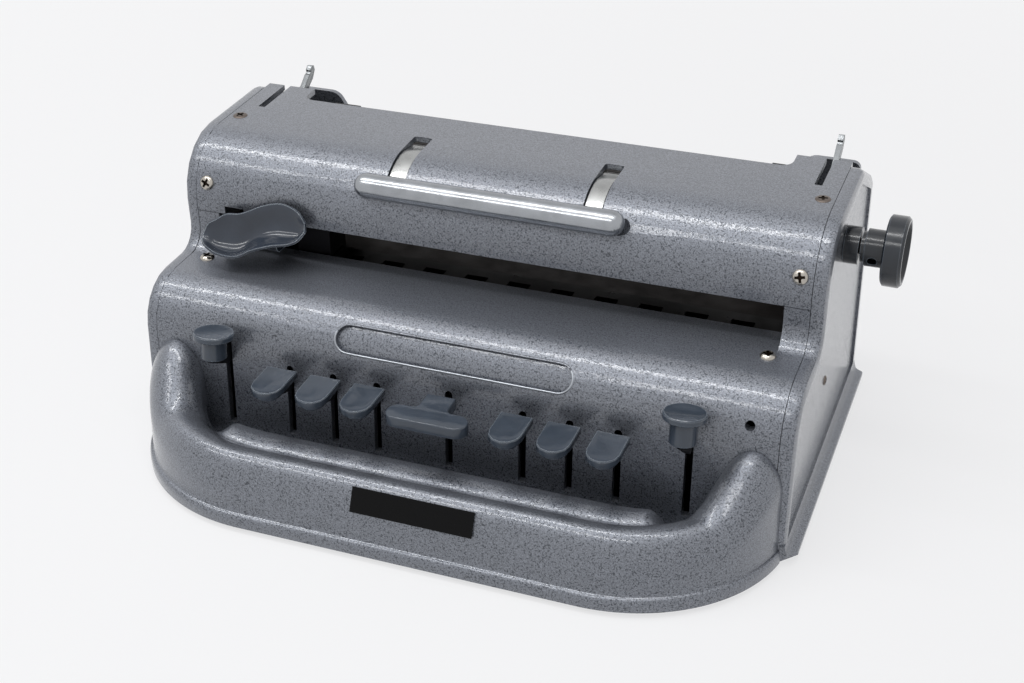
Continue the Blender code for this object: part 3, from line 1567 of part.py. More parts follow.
def make_margins():
    mesh = rod("margin_rail", "X", (margin_y, margin_height), -span_x, span_x, margin_radius, 16)
    add_object("margin_rail", mesh, "steel")
    for name, side in (("margin_stop_left", -1), ("margin_stop_right", 1)):
        x = side * stop_x
        pivot = joint_empty(name + "_slide", (x, margin_y, margin_height))
        half = stop_length / 2
        outline = rounded([
            (margin_y - stop_depth / 2, margin_height - stop_height / 2, carriage_round),
            (margin_y + stop_depth / 2, margin_height - stop_height / 2, carriage_round),
            (margin_y + stop_depth / 2, margin_height + stop_height / 2),
            (margin_y + stop_depth / 2, margin_height + stop_height / 2 + stop_tab_height,
             stop_tab_thickness / 3),
            (margin_y + stop_depth / 2 - stop_tab_thickness,
             margin_height + stop_height / 2 + stop_tab_height, stop_tab_thickness / 3),
            (margin_y + stop_depth / 2 - stop_tab_thickness, margin_height + stop_height / 2),
            (margin_y - stop_depth / 2, margin_height + stop_height / 2, carriage_round),
        ], 2)
        stop = add_object(name, prism(name, outline, "X", x - half, x + half), "steel", pivot)
        cut(stop, name + "_bore", rod(name + "_bore", "X", (margin_y, margin_height), x - half - overrun,
                                      x + half + overrun, margin_radius + slide_gap, 16))


def make_bell():
    top = floor_seat + bell_post_height
    rim = top - bell_height
    profile = [(floor_seat, 0), (floor_seat, bell_post_radius * 2), (floor_seat + bell_wall, bell_post_radius * 2),
               (floor_seat + bell_wall, bell_post_radius), (top - bell_wall, bell_post_radius)]
    steps = 4
    inner = []
    outer = []
    for k in range(steps + 1):
        angle = math.pi / 2 * k / steps
        if k:
            spread = bell_post_radius + (bell_radius - bell_wall - bell_post_radius) * math.sin(angle)
            inner.append((rim + (bell_height - bell_wall) * math.cos(angle), spread))
        outer.append((rim + bell_height * math.cos(angle), bell_radius * math.sin(angle)))
    outer[0] = (top, 0)
    profile += inner + outer[::-1]
    add_object("bell", turned("bell", profile, "Z", (bell_x, bell_y), 18), "brass")


def make_drum():
    turn = joint_empty("drum_turn", (drum_x, drum_rear_y, drum_height))
    stud_end = rear_face_y - rear_thickness - seat_gap
    rim = drum_rim
    front = drum_rear_y - drum_width
    profile = [
        (front, 0), (front, drum_radius), (front + rim, drum_radius), (front + rim, drum_radius - rim),
        (drum_rear_y - rim, drum_radius - rim), (drum_rear_y - rim, drum_radius), (drum_rear_y, drum_radius),
        (drum_rear_y, drum_stud_radius), (stud_end, drum_stud_radius), (stud_end, 0),
    ]
    mesh = turned("mainspring_drum", profile, "Y", (drum_x, drum_height), 22)
    add_object("mainspring_drum", mesh, "dark_steel", turn)


clear_scene()
root = add_empty("typewriter_root", root_shift)
shaft_cutter = make_shaft_cutter()
make_front_panel()
make_hand_rest()
make_end_plate("left_end_plate", -1)
right_plate = make_end_plate("right_end_plate", 1)
cut(right_plate, "bushing_bore", bushing_bore())
make_upper_cover()
make_base_plate()
make_rear_panel()
make_feet()
make_label()
make_handle()
make_dot_keys()
make_space_key()
make_button("line_key", "line_lever", -button_x, button_tops[0], button_stem_bottoms[0])
make_button("backspace_key", "backspace_lever", button_x, button_tops[1], button_stem_bottoms[1])
make_key_shaft()
make_rack()
make_carriage()
make_paper_feed()
make_paper_release()
make_paper_table()
make_margins()
make_bell()
make_drum()
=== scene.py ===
# Braille typewriter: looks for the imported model. The camera stands where the photograph was taken.
import json
import math
import bmesh
import bpy
from mathutils import Matrix, Vector


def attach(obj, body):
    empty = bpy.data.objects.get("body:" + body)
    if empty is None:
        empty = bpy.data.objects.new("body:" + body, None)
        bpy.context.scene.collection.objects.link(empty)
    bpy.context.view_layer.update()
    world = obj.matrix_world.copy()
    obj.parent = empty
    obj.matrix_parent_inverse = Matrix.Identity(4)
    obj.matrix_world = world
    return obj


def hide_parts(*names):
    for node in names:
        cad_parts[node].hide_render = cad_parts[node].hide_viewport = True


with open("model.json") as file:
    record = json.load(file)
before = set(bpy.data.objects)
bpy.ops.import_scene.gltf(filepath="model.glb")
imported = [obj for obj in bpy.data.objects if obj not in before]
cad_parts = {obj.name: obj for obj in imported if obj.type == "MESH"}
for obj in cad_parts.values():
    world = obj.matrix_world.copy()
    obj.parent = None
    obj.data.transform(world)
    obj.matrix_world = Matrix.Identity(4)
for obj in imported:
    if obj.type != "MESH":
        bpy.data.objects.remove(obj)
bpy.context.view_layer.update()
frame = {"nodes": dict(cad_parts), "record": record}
nodes = frame["nodes"]
print("frame loaded:", len(nodes), "nodes")

mm = 0.001
shiftX, shiftY = -11.8, -53.5  # millimetres from the machine's own frame to the part's


def at(x, y, z):
    # A place in millimetres of the machine's own frame, where X = 0 is the keyboard's middle
    return Vector((x + shiftX, y + shiftY, z)) * mm


def link(obj):
    bpy.context.scene.collection.objects.link(obj)
    return obj


# Node helpers


def srgb(hexText):
    # sRGB hex to the linear colour that shaders want
    values = [int(hexText[i:i + 2], 16) / 255 for i in (1, 3, 5)]
    return tuple(v / 12.92 if v <= 0.04045 else ((v + 0.055) / 1.055) ** 2.4 for v in values)


def addNode(tree, kind, settings=None, links=None):
    # Adds a node, sets its properties or sockets, and links sockets from other nodes' outputs
    node = tree.nodes.new(kind)
    for key, value in (settings or {}).items():
        if isinstance(key, str) and hasattr(node, key):
            setattr(node, key, value)
        else:
            node.inputs[key].default_value = value
    for key, source in (links or {}).items():
        tree.links.new(source, node.inputs[key])
    return node


def mathNode(tree, operation, first, second):
    # A sum, product or the like of two sockets or numbers
    settings = {"operation": operation}
    links = {}
    for key, value in ((0, first), (1, second)):
        (links if isinstance(value, bpy.types.NodeSocket) else settings)[key] = value
    return addNode(tree, "ShaderNodeMath", settings, links).outputs[0]


def noiseNode(tree, place, spacing, detail, roughness=0.5):
    # Noise whose features lie about so far apart
    settings = {"Scale": 1 / spacing, "Detail": detail, "Roughness": roughness}
    return addNode(tree, "ShaderNodeTexNoise", settings, {"Vector": place})


def ramp(tree, source, stops):
    # Each stop is a position and a grey value or a hex colour
    node = addNode(tree, "ShaderNodeValToRGB", None, {"Fac": source})
    points = node.color_ramp.elements
    while len(points) < len(stops):
        points.new(0.5)
    for point, (place, colour) in zip(points, stops):
        point.position = place
        point.color = (*srgb(colour), 1) if isinstance(colour, str) else (colour, colour, colour, 1)
    return node.outputs["Color"]


def mixColour(tree, share, below, above):
    # The hex colour above covers the colour socket below by the given share
    node = addNode(tree, "ShaderNodeMix", {"data_type": "RGBA"})
    tree.links.new(share, node.inputs["Factor"])
    tree.links.new(below, node.inputs[6])
    node.inputs[7].default_value = (*srgb(above), 1)
    return node.outputs[2]


def addBump(tree, shader, height, distance, strength):
    node = addNode(tree, "ShaderNodeBump", {"Distance": distance, "Strength": strength}, {"Height": height})
    tree.links.new(node.outputs["Normal"], shader.inputs["Normal"])
    return node.outputs["Normal"]


# Camera and light

cameraSettings = {
    "place": (0.26815, -0.68086, 0.51274), "lens": 57.51, "sensor": 36.0, "clipStart": 0.01,
    "right": (0.93532289, 0.35325273, -0.01958571), "down": (0.16970645, -0.4965367, -0.85126437),
    "ahead": (-0.31043648, 0.79288323, -0.52437141),
}


def makeCamera(settings):
    data = bpy.data.cameras.new("photoCamera")
    data.lens = settings["lens"]
    data.sensor_width = settings["sensor"]
    data.clip_start = settings["clipStart"]
    camera = link(bpy.data.objects.new("photoCamera", data))
    right, down, ahead = (Vector(settings[key]) for key in ("right", "down", "ahead"))
    axes = Matrix((right, -down, -ahead)).transposed()
    camera.matrix_world = Matrix.Translation(settings["place"]) @ axes.to_4x4()
    bpy.context.scene.camera = camera


studio = {
    "lamps": {  # place, aim, size across and deep, turn in degrees, power in watts
        "overheadTube": ((-0.43, -0.113, 1.30), (0.0, 0.0, 0.1), (1.7, 0.08), -5.0, 6.4),
        "frontTube": ((-0.52, -0.85, 1.30), (0.0, 0.0, 0.1), (1.8, 0.09), -10.8, 6.0),
        "ceilingBox": ((-0.3, -0.1, 1.75), (0.0, 0.0, 0.1), (2.4, 1.3), 0.0, 6.0),
    },
    "backdrop": "#fafafb", "softWorld": 0.3,
    # The sweep in metres, and how far from the machine its glow rises from near to far
    "floor": "#f1f2f4", "floorRoughness": 0.6, "front": -3.0, "bend": 1.1, "bendRadius": 0.9, "bendSteps": 12,
    "top": 4.0, "halfWidth": 4.0, "nearGlow": 0.72, "farGlow": 0.96, "glowReach": (0.35, 1.3),
}


def seenDirectly(tree):
    # One for rays from the camera, in a reflection or through glass, and zero for lighting rays
    path = addNode(tree, "ShaderNodeLightPath").outputs
    first = mathNode(tree, "MAXIMUM", path["Is Camera Ray"], path["Is Glossy Ray"])
    return mathNode(tree, "MAXIMUM", first, path["Is Transmission Ray"])


def makeLights(settings):
    for name, (place, aim, size, turn, power) in settings["lamps"].items():
        data = bpy.data.lights.new(name, "AREA")
        data.shape = "RECTANGLE"
        data.size, data.size_y = size
        data.energy = power
        lamp = bpy.data.objects.new(name, data)
        lamp.location = place
        # The lamp lies level along X, turned a little, and its face looks at the aim
        along = Vector((math.cos(math.radians(turn)), math.sin(math.radians(turn)), 0))
        back = (Vector(place) - Vector(aim)).normalized()
        across = back.cross(along).normalized()
        lamp.rotation_euler = Matrix((along, across, along.cross(across))).transposed().to_euler()
        link(lamp)
    world = bpy.data.worlds.new("studioWorld")
    world.use_nodes = True
    tree = world.node_tree
    tree.nodes.clear()
    colour = (*srgb(settings["backdrop"]), 1)
    soft = addNode(tree, "ShaderNodeBackground", {"Color": colour, "Strength": settings["softWorld"]})
    seen = addNode(tree, "ShaderNodeBackground", {"Color": colour, "Strength": 1.0})
    mix = addNode(tree, "ShaderNodeMixShader", None,
                  {0: seenDirectly(tree), 1: soft.outputs[0], 2: seen.outputs[0]})
    addNode(tree, "ShaderNodeOutputWorld", None, {"Surface": mix.outputs[0]})
    bpy.context.scene.world = world


def makeFloor(settings):
    # A pale sweep: flat under the machine and curving up well behind it
    bend, radius, steps = settings["bend"], settings["bendRadius"], settings["bendSteps"]
    profile = [(settings["front"], 0.0), (bend, 0.0)]
    for k in range(1, steps + 1):
        a = math.pi / 2 * k / steps
        profile.append((bend + radius * math.sin(a), radius * (1 - math.cos(a))))
    profile.append((bend + radius, settings["top"]))
    bm = bmesh.new()
    rows = [[bm.verts.new((side * settings["halfWidth"], y, z)) for side in (-1, 1)] for y, z in profile]
    for a, b in zip(rows[:-1], rows[1:]):
        bm.faces.new((a[0], a[1], b[1], b[0]))
    mesh = bpy.data.meshes.new("floor")
    bm.to_mesh(mesh)
    bm.free()
    mesh.shade_smooth()
    floor = link(bpy.data.objects.new("floor", mesh))
    # Matt paper, as light as the backdrop where the camera sees it far off
    material = bpy.data.materials.new("matt paper sweep")
    material.use_nodes = True
    tree = material.node_tree
    shader = tree.nodes["Principled BSDF"]
    shader.inputs["Base Color"].default_value = (*srgb(settings["floor"]), 1)
    shader.inputs["Roughness"].default_value = settings["floorRoughness"]
    glow = addNode(tree, "ShaderNodeEmission", {"Color": (*srgb(settings["backdrop"]), 1), "Strength": 1.0})
    place = addNode(tree, "ShaderNodeTexCoord").outputs["Object"]
    away = addNode(tree, "ShaderNodeVectorMath", {"operation": "LENGTH"}, {0: place}).outputs["Value"]
    near, far = settings["glowReach"]
    reach = {"From Min": near, "From Max": far, "To Min": settings["nearGlow"], "To Max": settings["farGlow"]}
    rise = addNode(tree, "ShaderNodeMapRange", reach, {"Value": away})
    share = mathNode(tree, "MULTIPLY", seenDirectly(tree), rise.outputs["Result"])
    mix = addNode(tree, "ShaderNodeMixShader", None, {0: share, 1: shader.outputs[0], 2: glow.outputs[0]})
    tree.links.new(mix.outputs[0], tree.nodes["Material Output"].inputs["Surface"])
    mesh.materials.append(material)


makeCamera(cameraSettings)
makeLights(studio)
makeFloor(studio)
bpy.context.scene.view_settings.view_transform = "Standard"
print("camera, lights and floor made")

# Materials


def startMaterial(name, colour, roughness, metallic=0.0, extra=None):
    material = bpy.data.materials.new(name)
    material.use_nodes = True
    tree = material.node_tree
    shader = tree.nodes["Principled BSDF"]
    shader.inputs["Base Color"].default_value = (*srgb(colour), 1)
    shader.inputs["Roughness"].default_value = roughness
    shader.inputs["Metallic"].default_value = metallic
    for key, value in (extra or {}).items():
        shader.inputs[key].default_value = value
    place = addNode(tree, "ShaderNodeTexCoord")
    return material, tree, shader, place.outputs["Object"]


def uneven(tree, shader, source, colour, roughness, gloss, tone):
    # Roughness and colour both follow one slow noise; each stop scales the value it is given
    rough = ramp(tree, source, [(place, roughness * share) for place, share in gloss])
    tree.links.new(rough, shader.inputs["Roughness"])
    tint = addNode(tree, "ShaderNodeHueSaturation", {"Color": (*srgb(colour), 1)},
                   {"Value": ramp(tree, source, tone)})
    return tint.outputs["Color"]


enamel = {
    "metallic": 0.74, "roughness": 0.48, "coatRoughness": 0.08, "colour": "#71757d", "dark": "#353a42",
    "low": "#5e6269", "high": "#888c95", "grainStops": (0.36, 0.5, 0.64), "grain": 0.6 * mm,
    "drift": 2.0 * mm, "warp": 0.9 * mm,
    "dotSpacing": 1.45 * mm, "dotEdge": (0.16, 0.29), "dotShare": (0.15, 0.4),
    "strokeSpacing": 1.9 * mm, "strokeEdge": (0.05, 0.13), "patch": 1.0 * mm, "strokeShare": (0.53, 0.59),
    "fadeFrom": (0.3, 0.5), "edgeFade": 0.3, "dimple": 2.4 * mm, "dimpleDepth": 0.06 * mm,
    "grainDepth": 0.012 * mm, "fleckDip": -0.3, "bump": 0.8,
}


def enamelFlecks(tree, place, settings):
    # Dots in some cells of a warped pattern, and broken strokes along the borders of another
    drift = noiseNode(tree, place, settings["drift"], detail=2.0)
    centred = addNode(tree, "ShaderNodeVectorMath", {"operation": "SUBTRACT", 1: (0.5, 0.5, 0.5)},
                      {0: drift.outputs["Color"]})
    shift = addNode(tree, "ShaderNodeVectorMath", {"operation": "SCALE", "Scale": settings["warp"]},
                    {0: centred.outputs[0]})
    moved = addNode(tree, "ShaderNodeVectorMath", {"operation": "ADD"},
                    {0: place, 1: shift.outputs[0]}).outputs[0]
    cells = addNode(tree, "ShaderNodeTexVoronoi", {"Scale": 1 / settings["dotSpacing"]}, {"Vector": moved})
    pick = addNode(tree, "ShaderNodeSeparateColor", None, {"Color": cells.outputs["Color"]})
    inside, outside = settings["dotEdge"]
    none, full = settings["dotShare"]
    dots = mathNode(tree, "MULTIPLY",
                    ramp(tree, cells.outputs["Distance"], [(inside, 1.0), (outside, 0.0)]),
                    ramp(tree, pick.outputs[0], [(none, 0.0), (full, 1.0)]))
    borders = addNode(tree, "ShaderNodeTexVoronoi",
                      {"feature": "DISTANCE_TO_EDGE", "Scale": 1 / settings["strokeSpacing"]},
                      {"Vector": moved})
    patches = noiseNode(tree, place, settings["patch"], detail=1.0)
    inside, outside = settings["strokeEdge"]
    none, full = settings["strokeShare"]
    strokes = mathNode(tree, "MULTIPLY",
                       ramp(tree, borders.outputs["Distance"], [(inside, 1.0), (outside, 0.0)]),
                       ramp(tree, patches.outputs["Fac"], [(none, 0.0), (full, 1.0)]))
    return mathNode(tree, "MAXIMUM", dots, strokes)


def hammertoneEnamel(settings):
    # Stoved hammertone enamel: aluminium flake under a clear skin gives a grey mirror-like sheen,
    # broken by dark comma-shaped flecks and shallow dimples
    material, tree, shader, place = startMaterial(
        "hammertone enamel, stoved", settings["colour"], settings["roughness"], settings["metallic"],
        {"Coat Weight": 1.0, "Coat Roughness": settings["coatRoughness"]})
    flecks = enamelFlecks(tree, place, settings)
    # The flecks fade where the surface is seen at a low angle: a painted sheen standing in for the clear
    # skin's reflection over them.
    # The exported model loses this, and an edgeFade of 1 ends it
    lowAngle = addNode(tree, "ShaderNodeLayerWeight", {"Blend": 0.5}).outputs["Facing"]
    near, far = settings["fadeFrom"]
    paintedSheenFade = addNode(tree, "ShaderNodeMapRange",
                   {"From Min": near, "From Max": far, "To Min": 1.0, "To Max": settings["edgeFade"]},
                   {"Value": lowAngle})
    seen = mathNode(tree, "MULTIPLY", flecks, paintedSheenFade.outputs["Result"])
    grain = noiseNode(tree, place, settings["grain"], detail=3.0, roughness=0.7).outputs["Fac"]
    greys = [settings[key] for key in ("low", "colour", "high")]
    base = ramp(tree, grain, list(zip(settings["grainStops"], greys)))
    tree.links.new(mixColour(tree, seen, base, settings["dark"]), shader.inputs["Base Color"])
    dimples = noiseNode(tree, place, settings["dimple"], detail=2.5).outputs["Fac"]
    sunk = mathNode(tree, "MULTIPLY", flecks, settings["fleckDip"])
    fine = mathNode(tree, "MULTIPLY", grain, settings["grainDepth"] / settings["dimpleDepth"])
    height = mathNode(tree, "ADD", mathNode(tree, "ADD", sunk, dimples), fine)
    normal = addBump(tree, shader, height, settings["dimpleDepth"] * 2, settings["bump"])
    tree.links.new(normal, shader.inputs["Coat Normal"])
    return material


phenolic = {
    "peel": 2.4 * mm, "wear": 7 * mm, "gloss": ((0.3, 0.8), (0.7, 1.35)), "tone": ((0.3, 0.86), (0.7, 1.0)),
    "edge": 0.8 * mm, "edgeStops": ((0.84, 0.95), (0.985, 0.0)), "samples": 6, "bump": 0.5,
}


def mouldedPlastic(name, colour, wearAndHighlight, roughness, peelDepth=0.02 * mm, paintedShadeReach=16 * mm):
    # Compression-moulded phenolic: even dark colour, polished gloss, faint orange peel, and
    # edges painted pale, partly for the rub of years of fingers and partly as a painted highlight on the
    # rims. Hollows are darkened as painted shade
    material, tree, shader, place = startMaterial(name, colour, roughness)
    peel = noiseNode(tree, place, phenolic["peel"], detail=2.0).outputs["Fac"]
    wear = noiseNode(tree, place, phenolic["wear"], detail=5.0).outputs["Fac"]
    tint = uneven(tree, shader, wear, colour, roughness, phenolic["gloss"], phenolic["tone"])
    # Pale colour on the rounded edges: partly rubbed wear, partly a painted highlight along the rims
    rounded = addNode(tree, "ShaderNodeBevel", {"samples": phenolic["samples"], "Radius": phenolic["edge"]})
    real = addNode(tree, "ShaderNodeNewGeometry")
    turned = addNode(tree, "ShaderNodeVectorMath", {"operation": "DOT_PRODUCT"},
                     {0: rounded.outputs["Normal"], 1: real.outputs["Normal"]})
    edge = ramp(tree, turned.outputs["Value"], phenolic["edgeStops"])
    # Painted shade: the colour darkens where other surfaces lie within the reach
    paintedHollowShade = addNode(tree, "ShaderNodeAmbientOcclusion",
                     {"samples": phenolic["samples"], "Distance": paintedShadeReach}, {"Color": tint})
    tree.links.new(mixColour(tree, edge, paintedHollowShade.outputs["Color"], wearAndHighlight), shader.inputs["Base Color"])
    addBump(tree, shader, peel, peelDepth * 2, phenolic["bump"])
    return material


# The lines are drawn coarser than real ones, so that they show in the render
bareMetal = {
    "line": 0.35 * mm, "squash": 0.02, "stain": 9 * mm, "gloss": ((0.3, 0.8), (0.75, 1.4)),
    "tone": ((0.25, 0.82), (0.6, 1.0)), "bump": 0.5,
}


def drawnMetal(name, colour, roughness, along="X", lineDepth=0.01 * mm):
    # Drawn or ground metal: fine lines along the length stretch the highlights across it
    material, tree, shader, place = startMaterial(name, colour, roughness, 1.0)
    stretch = tuple(bareMetal["squash"] if axis == along else 1 for axis in "XYZ")
    lines = addNode(tree, "ShaderNodeMapping", {"Scale": stretch}, {"Vector": place})
    noise = noiseNode(tree, lines.outputs[0], bareMetal["line"], detail=4.0).outputs["Fac"]
    stain = noiseNode(tree, place, bareMetal["stain"], detail=4.0).outputs["Fac"]
    tint = uneven(tree, shader, stain, colour, roughness, bareMetal["gloss"], bareMetal["tone"])
    tree.links.new(tint, shader.inputs["Base Color"])
    addBump(tree, shader, noise, lineDepth * 2, bareMetal["bump"])
    return material


footRubber = {"colour": "#141414", "dusty": "#2c2c2c", "roughness": 0.8, "bloom": 5 * mm,
              "bloomStops": (0.3, 0.8), "depth": 0.05 * mm, "bump": 0.4}


def softRubber(settings):
    # Moulded rubber: matt, with a dusty bloom
    material, tree, shader, place = startMaterial("rubber, moulded black", settings["colour"],
                                                  settings["roughness"])
    bloom = noiseNode(tree, place, settings["bloom"], detail=4.0).outputs["Fac"]
    tone = ramp(tree, bloom, list(zip(settings["bloomStops"], (settings["colour"], settings["dusty"]))))
    tree.links.new(tone, shader.inputs["Base Color"])
    addBump(tree, shader, bloom, settings["depth"], settings["bump"])
    return material


blackFilm = {"colour": "#060607", "roughness": 0.3, "shine": 0.12, "scuff": 3 * mm,
             "scuffStops": ((0.35, 0.24), (0.75, 0.4)), "depth": 0.02 * mm, "bump": 0.4}


def labelFilm(settings):
    # Satin film, bare black, with the fine scuffs that hands leave
    material, tree, shader, place = startMaterial(
        "polyester film, satin black", settings["colour"], settings["roughness"], 0.0,
        {"Specular IOR Level": settings["shine"]})
    scuff = noiseNode(tree, place, settings["scuff"], detail=3.0).outputs["Fac"]
    tree.links.new(ramp(tree, scuff, settings["scuffStops"]), shader.inputs["Roughness"])
    addBump(tree, shader, scuff, settings["depth"], settings["bump"])
    return material


finishes = {
    "enamel": hammertoneEnamel(enamel),
    # Colour, pale colour painted on the edges for wear and highlight, roughness, depth of the orange peel,
    # reach of the painted shade in hollows
    "keys": mouldedPlastic("phenolic, moulded blue-grey", "#434c58", "#bcc6cf", 0.14, 0.06 * mm),
    # Painted shade: the scoop's colour is set darker than the keys' and darkened over a long reach in its
    # bowl
    "scoop": mouldedPlastic("phenolic, blue-grey with painted shade", "#3b4350", "#bcc6cf", 0.12, 0.03 * mm,
                            34 * mm),
    "knob": mouldedPlastic("phenolic, moulded near-black blue", "#272c33", "#6b747f", 0.18),
    # Colour, roughness, the way the lines run and their depth: bright metals mirror the room in soft streaks
    "polished": drawnMetal("aluminium, polished", "#9fa2a6", 0.19, "X", 0.012 * mm),
    "strap": drawnMetal("spring steel, bright", "#a9aaa9", 0.26, "Y"),
    # Oil and oxide keep steel dark, with one sharp streak of light. The ground steel's near-black colour is
    # partly painted shade for the mechanism deep inside the case
    "steel": drawnMetal("steel, ground and oiled, darkened as painted shade", "#232222", 0.34),
    "dark": drawnMetal("steel, blackened and oiled", "#1d1d1f", 0.42),
    "brown": drawnMetal("steel, brown oxide", "#191412", 0.36, "X", 0.04 * mm),
    # Plating and paint that years have dulled or browned, a lighter enamel that paints a highlight on the
    # nameplate rim's lower side, and a darker finish for the screw recesses
    "lever": drawnMetal("steel, zinc plated and dulled", "#85888a", 0.28, "Z"),
    "rimHighlight": drawnMetal("enamel with a painted highlight on the rim", "#a4a8ae", 0.36),
    "nickel": drawnMetal("nickel plate, aged", "#b3aea6", 0.2),
    "aged": drawnMetal("nickel plate, brown with wear", "#6d645e", 0.34),
    "recessDark": drawnMetal("nickel plate, darker in the recess", "#2a231d", 0.5),
    # Warm brass for the bell, then two flat blacks: dusty rubber and satin film
    "brass": drawnMetal("brass, spun", "#b79a5e", 0.3, "Y"),
    "rubber": softRubber(footRubber),
    "label": labelFilm(blackFilm),
}
print("materials made:", len(finishes))

# CAD nodes

slotFinish = {
    "hammertone_paint": "enamel", "blackened_steel": "dark", "rubber": "rubber", "label_black": "label",
    "key_plastic": "keys", "knob_plastic": "knob", "polished_metal": "polished", "plain_steel": "steel",
    "brown_steel": "brown", "bell_brass": "brass",
}
slotOf = {part["node"]: part["material_slot"] for part in frame["record"]["subparts"]}
straps = ["handle_arm_left", "handle_arm_right"]
releaseLevers = ["release_lever_left", "release_lever_right"]
smallKeys = [f"dot_key_{n}" for n in range(1, 7)] + ["line_key", "backspace_key"]
ownFinish = {  # nodes that don't take their slot's finish
    **dict.fromkeys(straps, "strap"), **dict.fromkeys(releaseLevers, "lever"),
}
nodeBevels = {  # edge rounding for moulded or filed pieces whose edges catch the light
    **dict.fromkeys(smallKeys, 0.35 * mm), "space_key": 0.4 * mm,
    **dict.fromkeys(straps + releaseLevers, 0.3 * mm),
}
# Distances in metres and angles in degrees
dressing = {"weld": 0.00001, "flat": 0.6, "bevelSegments": 2, "bevelAngle": 35, "smooth": 32,
            "merge": 0.000002}


def smoothTree():
    # Shades smooth, and keeps edges past the angle sharp
    tree = bpy.data.node_groups.new("smoothByAngle", "GeometryNodeTree")
    tree.interface.new_socket("Mesh", in_out="INPUT", socket_type="NodeSocketGeometry")
    limit = tree.interface.new_socket("Angle", in_out="INPUT", socket_type="NodeSocketFloat")
    limit.default_value = math.radians(dressing["smooth"])
    tree.interface.new_socket("Mesh", in_out="OUTPUT", socket_type="NodeSocketGeometry")
    start = addNode(tree, "NodeGroupInput")
    angle = addNode(tree, "GeometryNodeInputMeshEdgeAngle")
    small = addNode(tree, "FunctionNodeCompare", {"data_type": "FLOAT", "operation": "LESS_EQUAL"},
                    {0: angle.outputs["Unsigned Angle"], 1: start.outputs["Angle"]})
    sharp = addNode(tree, "FunctionNodeBooleanMath", {"operation": "NOT"}, {0: small.outputs[0]})
    faces = addNode(tree, "GeometryNodeSetShadeSmooth", {"domain": "FACE"},
                    {"Geometry": start.outputs["Mesh"]})
    edges = addNode(tree, "GeometryNodeSetShadeSmooth", {"domain": "EDGE", "Shade Smooth": False},
                    {"Geometry": faces.outputs[0], "Selection": sharp.outputs[0]})
    addNode(tree, "NodeGroupOutput", None, {0: edges.outputs[0]})
    return tree


smoothGroup = smoothTree()


def dressNode(name, bevel=0.0):
    # A CAD node keeps its mesh and gets clean edges and a finish through modifiers
    obj = nodes[name]
    weld = obj.modifiers.new("weld", "WELD")
    weld.merge_threshold = dressing["weld"]
    flat = obj.modifiers.new("flatFaces", "DECIMATE")
    flat.decimate_type = "DISSOLVE"
    flat.angle_limit = math.radians(dressing["flat"])
    if bevel:
        edge = obj.modifiers.new("edge", "BEVEL")
        edge.width = bevel
        edge.segments = dressing["bevelSegments"]
        edge.limit_method = "ANGLE"
        edge.angle_limit = math.radians(dressing["bevelAngle"])
    smooth = obj.modifiers.new("smooth", "NODES")
    smooth.node_group = smoothGroup
    obj.data.materials.clear()
    obj.data.materials.append(finishes[ownFinish.get(name, slotFinish[slotOf[name]])])


for name in nodes:
    dressNode(name, nodeBevels.get(name, 0.0))
print("CAD nodes dressed")

# Mesh helpers


def curveThrough(points, steps):
    # A smooth curve through every given point, with so many steps between two of them
    out = []
    for i in range(len(points) - 1):
        p0 = points[max(i - 1, 0)]
        p1, p2 = points[i], points[i + 1]
        p3 = points[min(i + 2, len(points) - 1)]
        for k in range(steps):
            t = k / steps
            out.append(0.5 * ((2 * p1) + (p2 - p0) * t + (2 * p0 - 5 * p1 + 4 * p2 - p3) * t * t
                              + (3 * p1 - p0 - 3 * p2 + p3) * t ** 3))
    out.append(points[-1])
    return out


def softStep(value, start, end):
    t = min(max((value - start) / (end - start), 0), 1)
    return t * t * (3 - 2 * t)


def bridge(bm, one, two):
    # A closed band of faces between two rings of the same number of points
    faces = []
    for k in range(len(one)):
        n = (k + 1) % len(one)
        faces.append(bm.faces.new((one[k], one[n], two[n], two[k])))
    return faces


def finishMesh(bm, name, finish, body, slotName, *replaced):
    # Merges doubles, turns faces outwards, hands the piece to its body and hides the CAD nodes it stands in
    # for
    bmesh.ops.remove_doubles(bm, verts=bm.verts, dist=dressing["merge"])
    bmesh.ops.recalc_face_normals(bm, faces=bm.faces)
    mesh = bpy.data.meshes.new(name)
    bm.to_mesh(mesh)
    bm.free()
    mesh.materials.append(finishes[finish])
    piece = link(bpy.data.objects.new(name, mesh))
    smooth = piece.modifiers.new("smooth", "NODES")
    smooth.node_group = smoothGroup
    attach(piece, body)
    if replaced:
        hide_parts(*replaced)
    return piece


# Hand rest

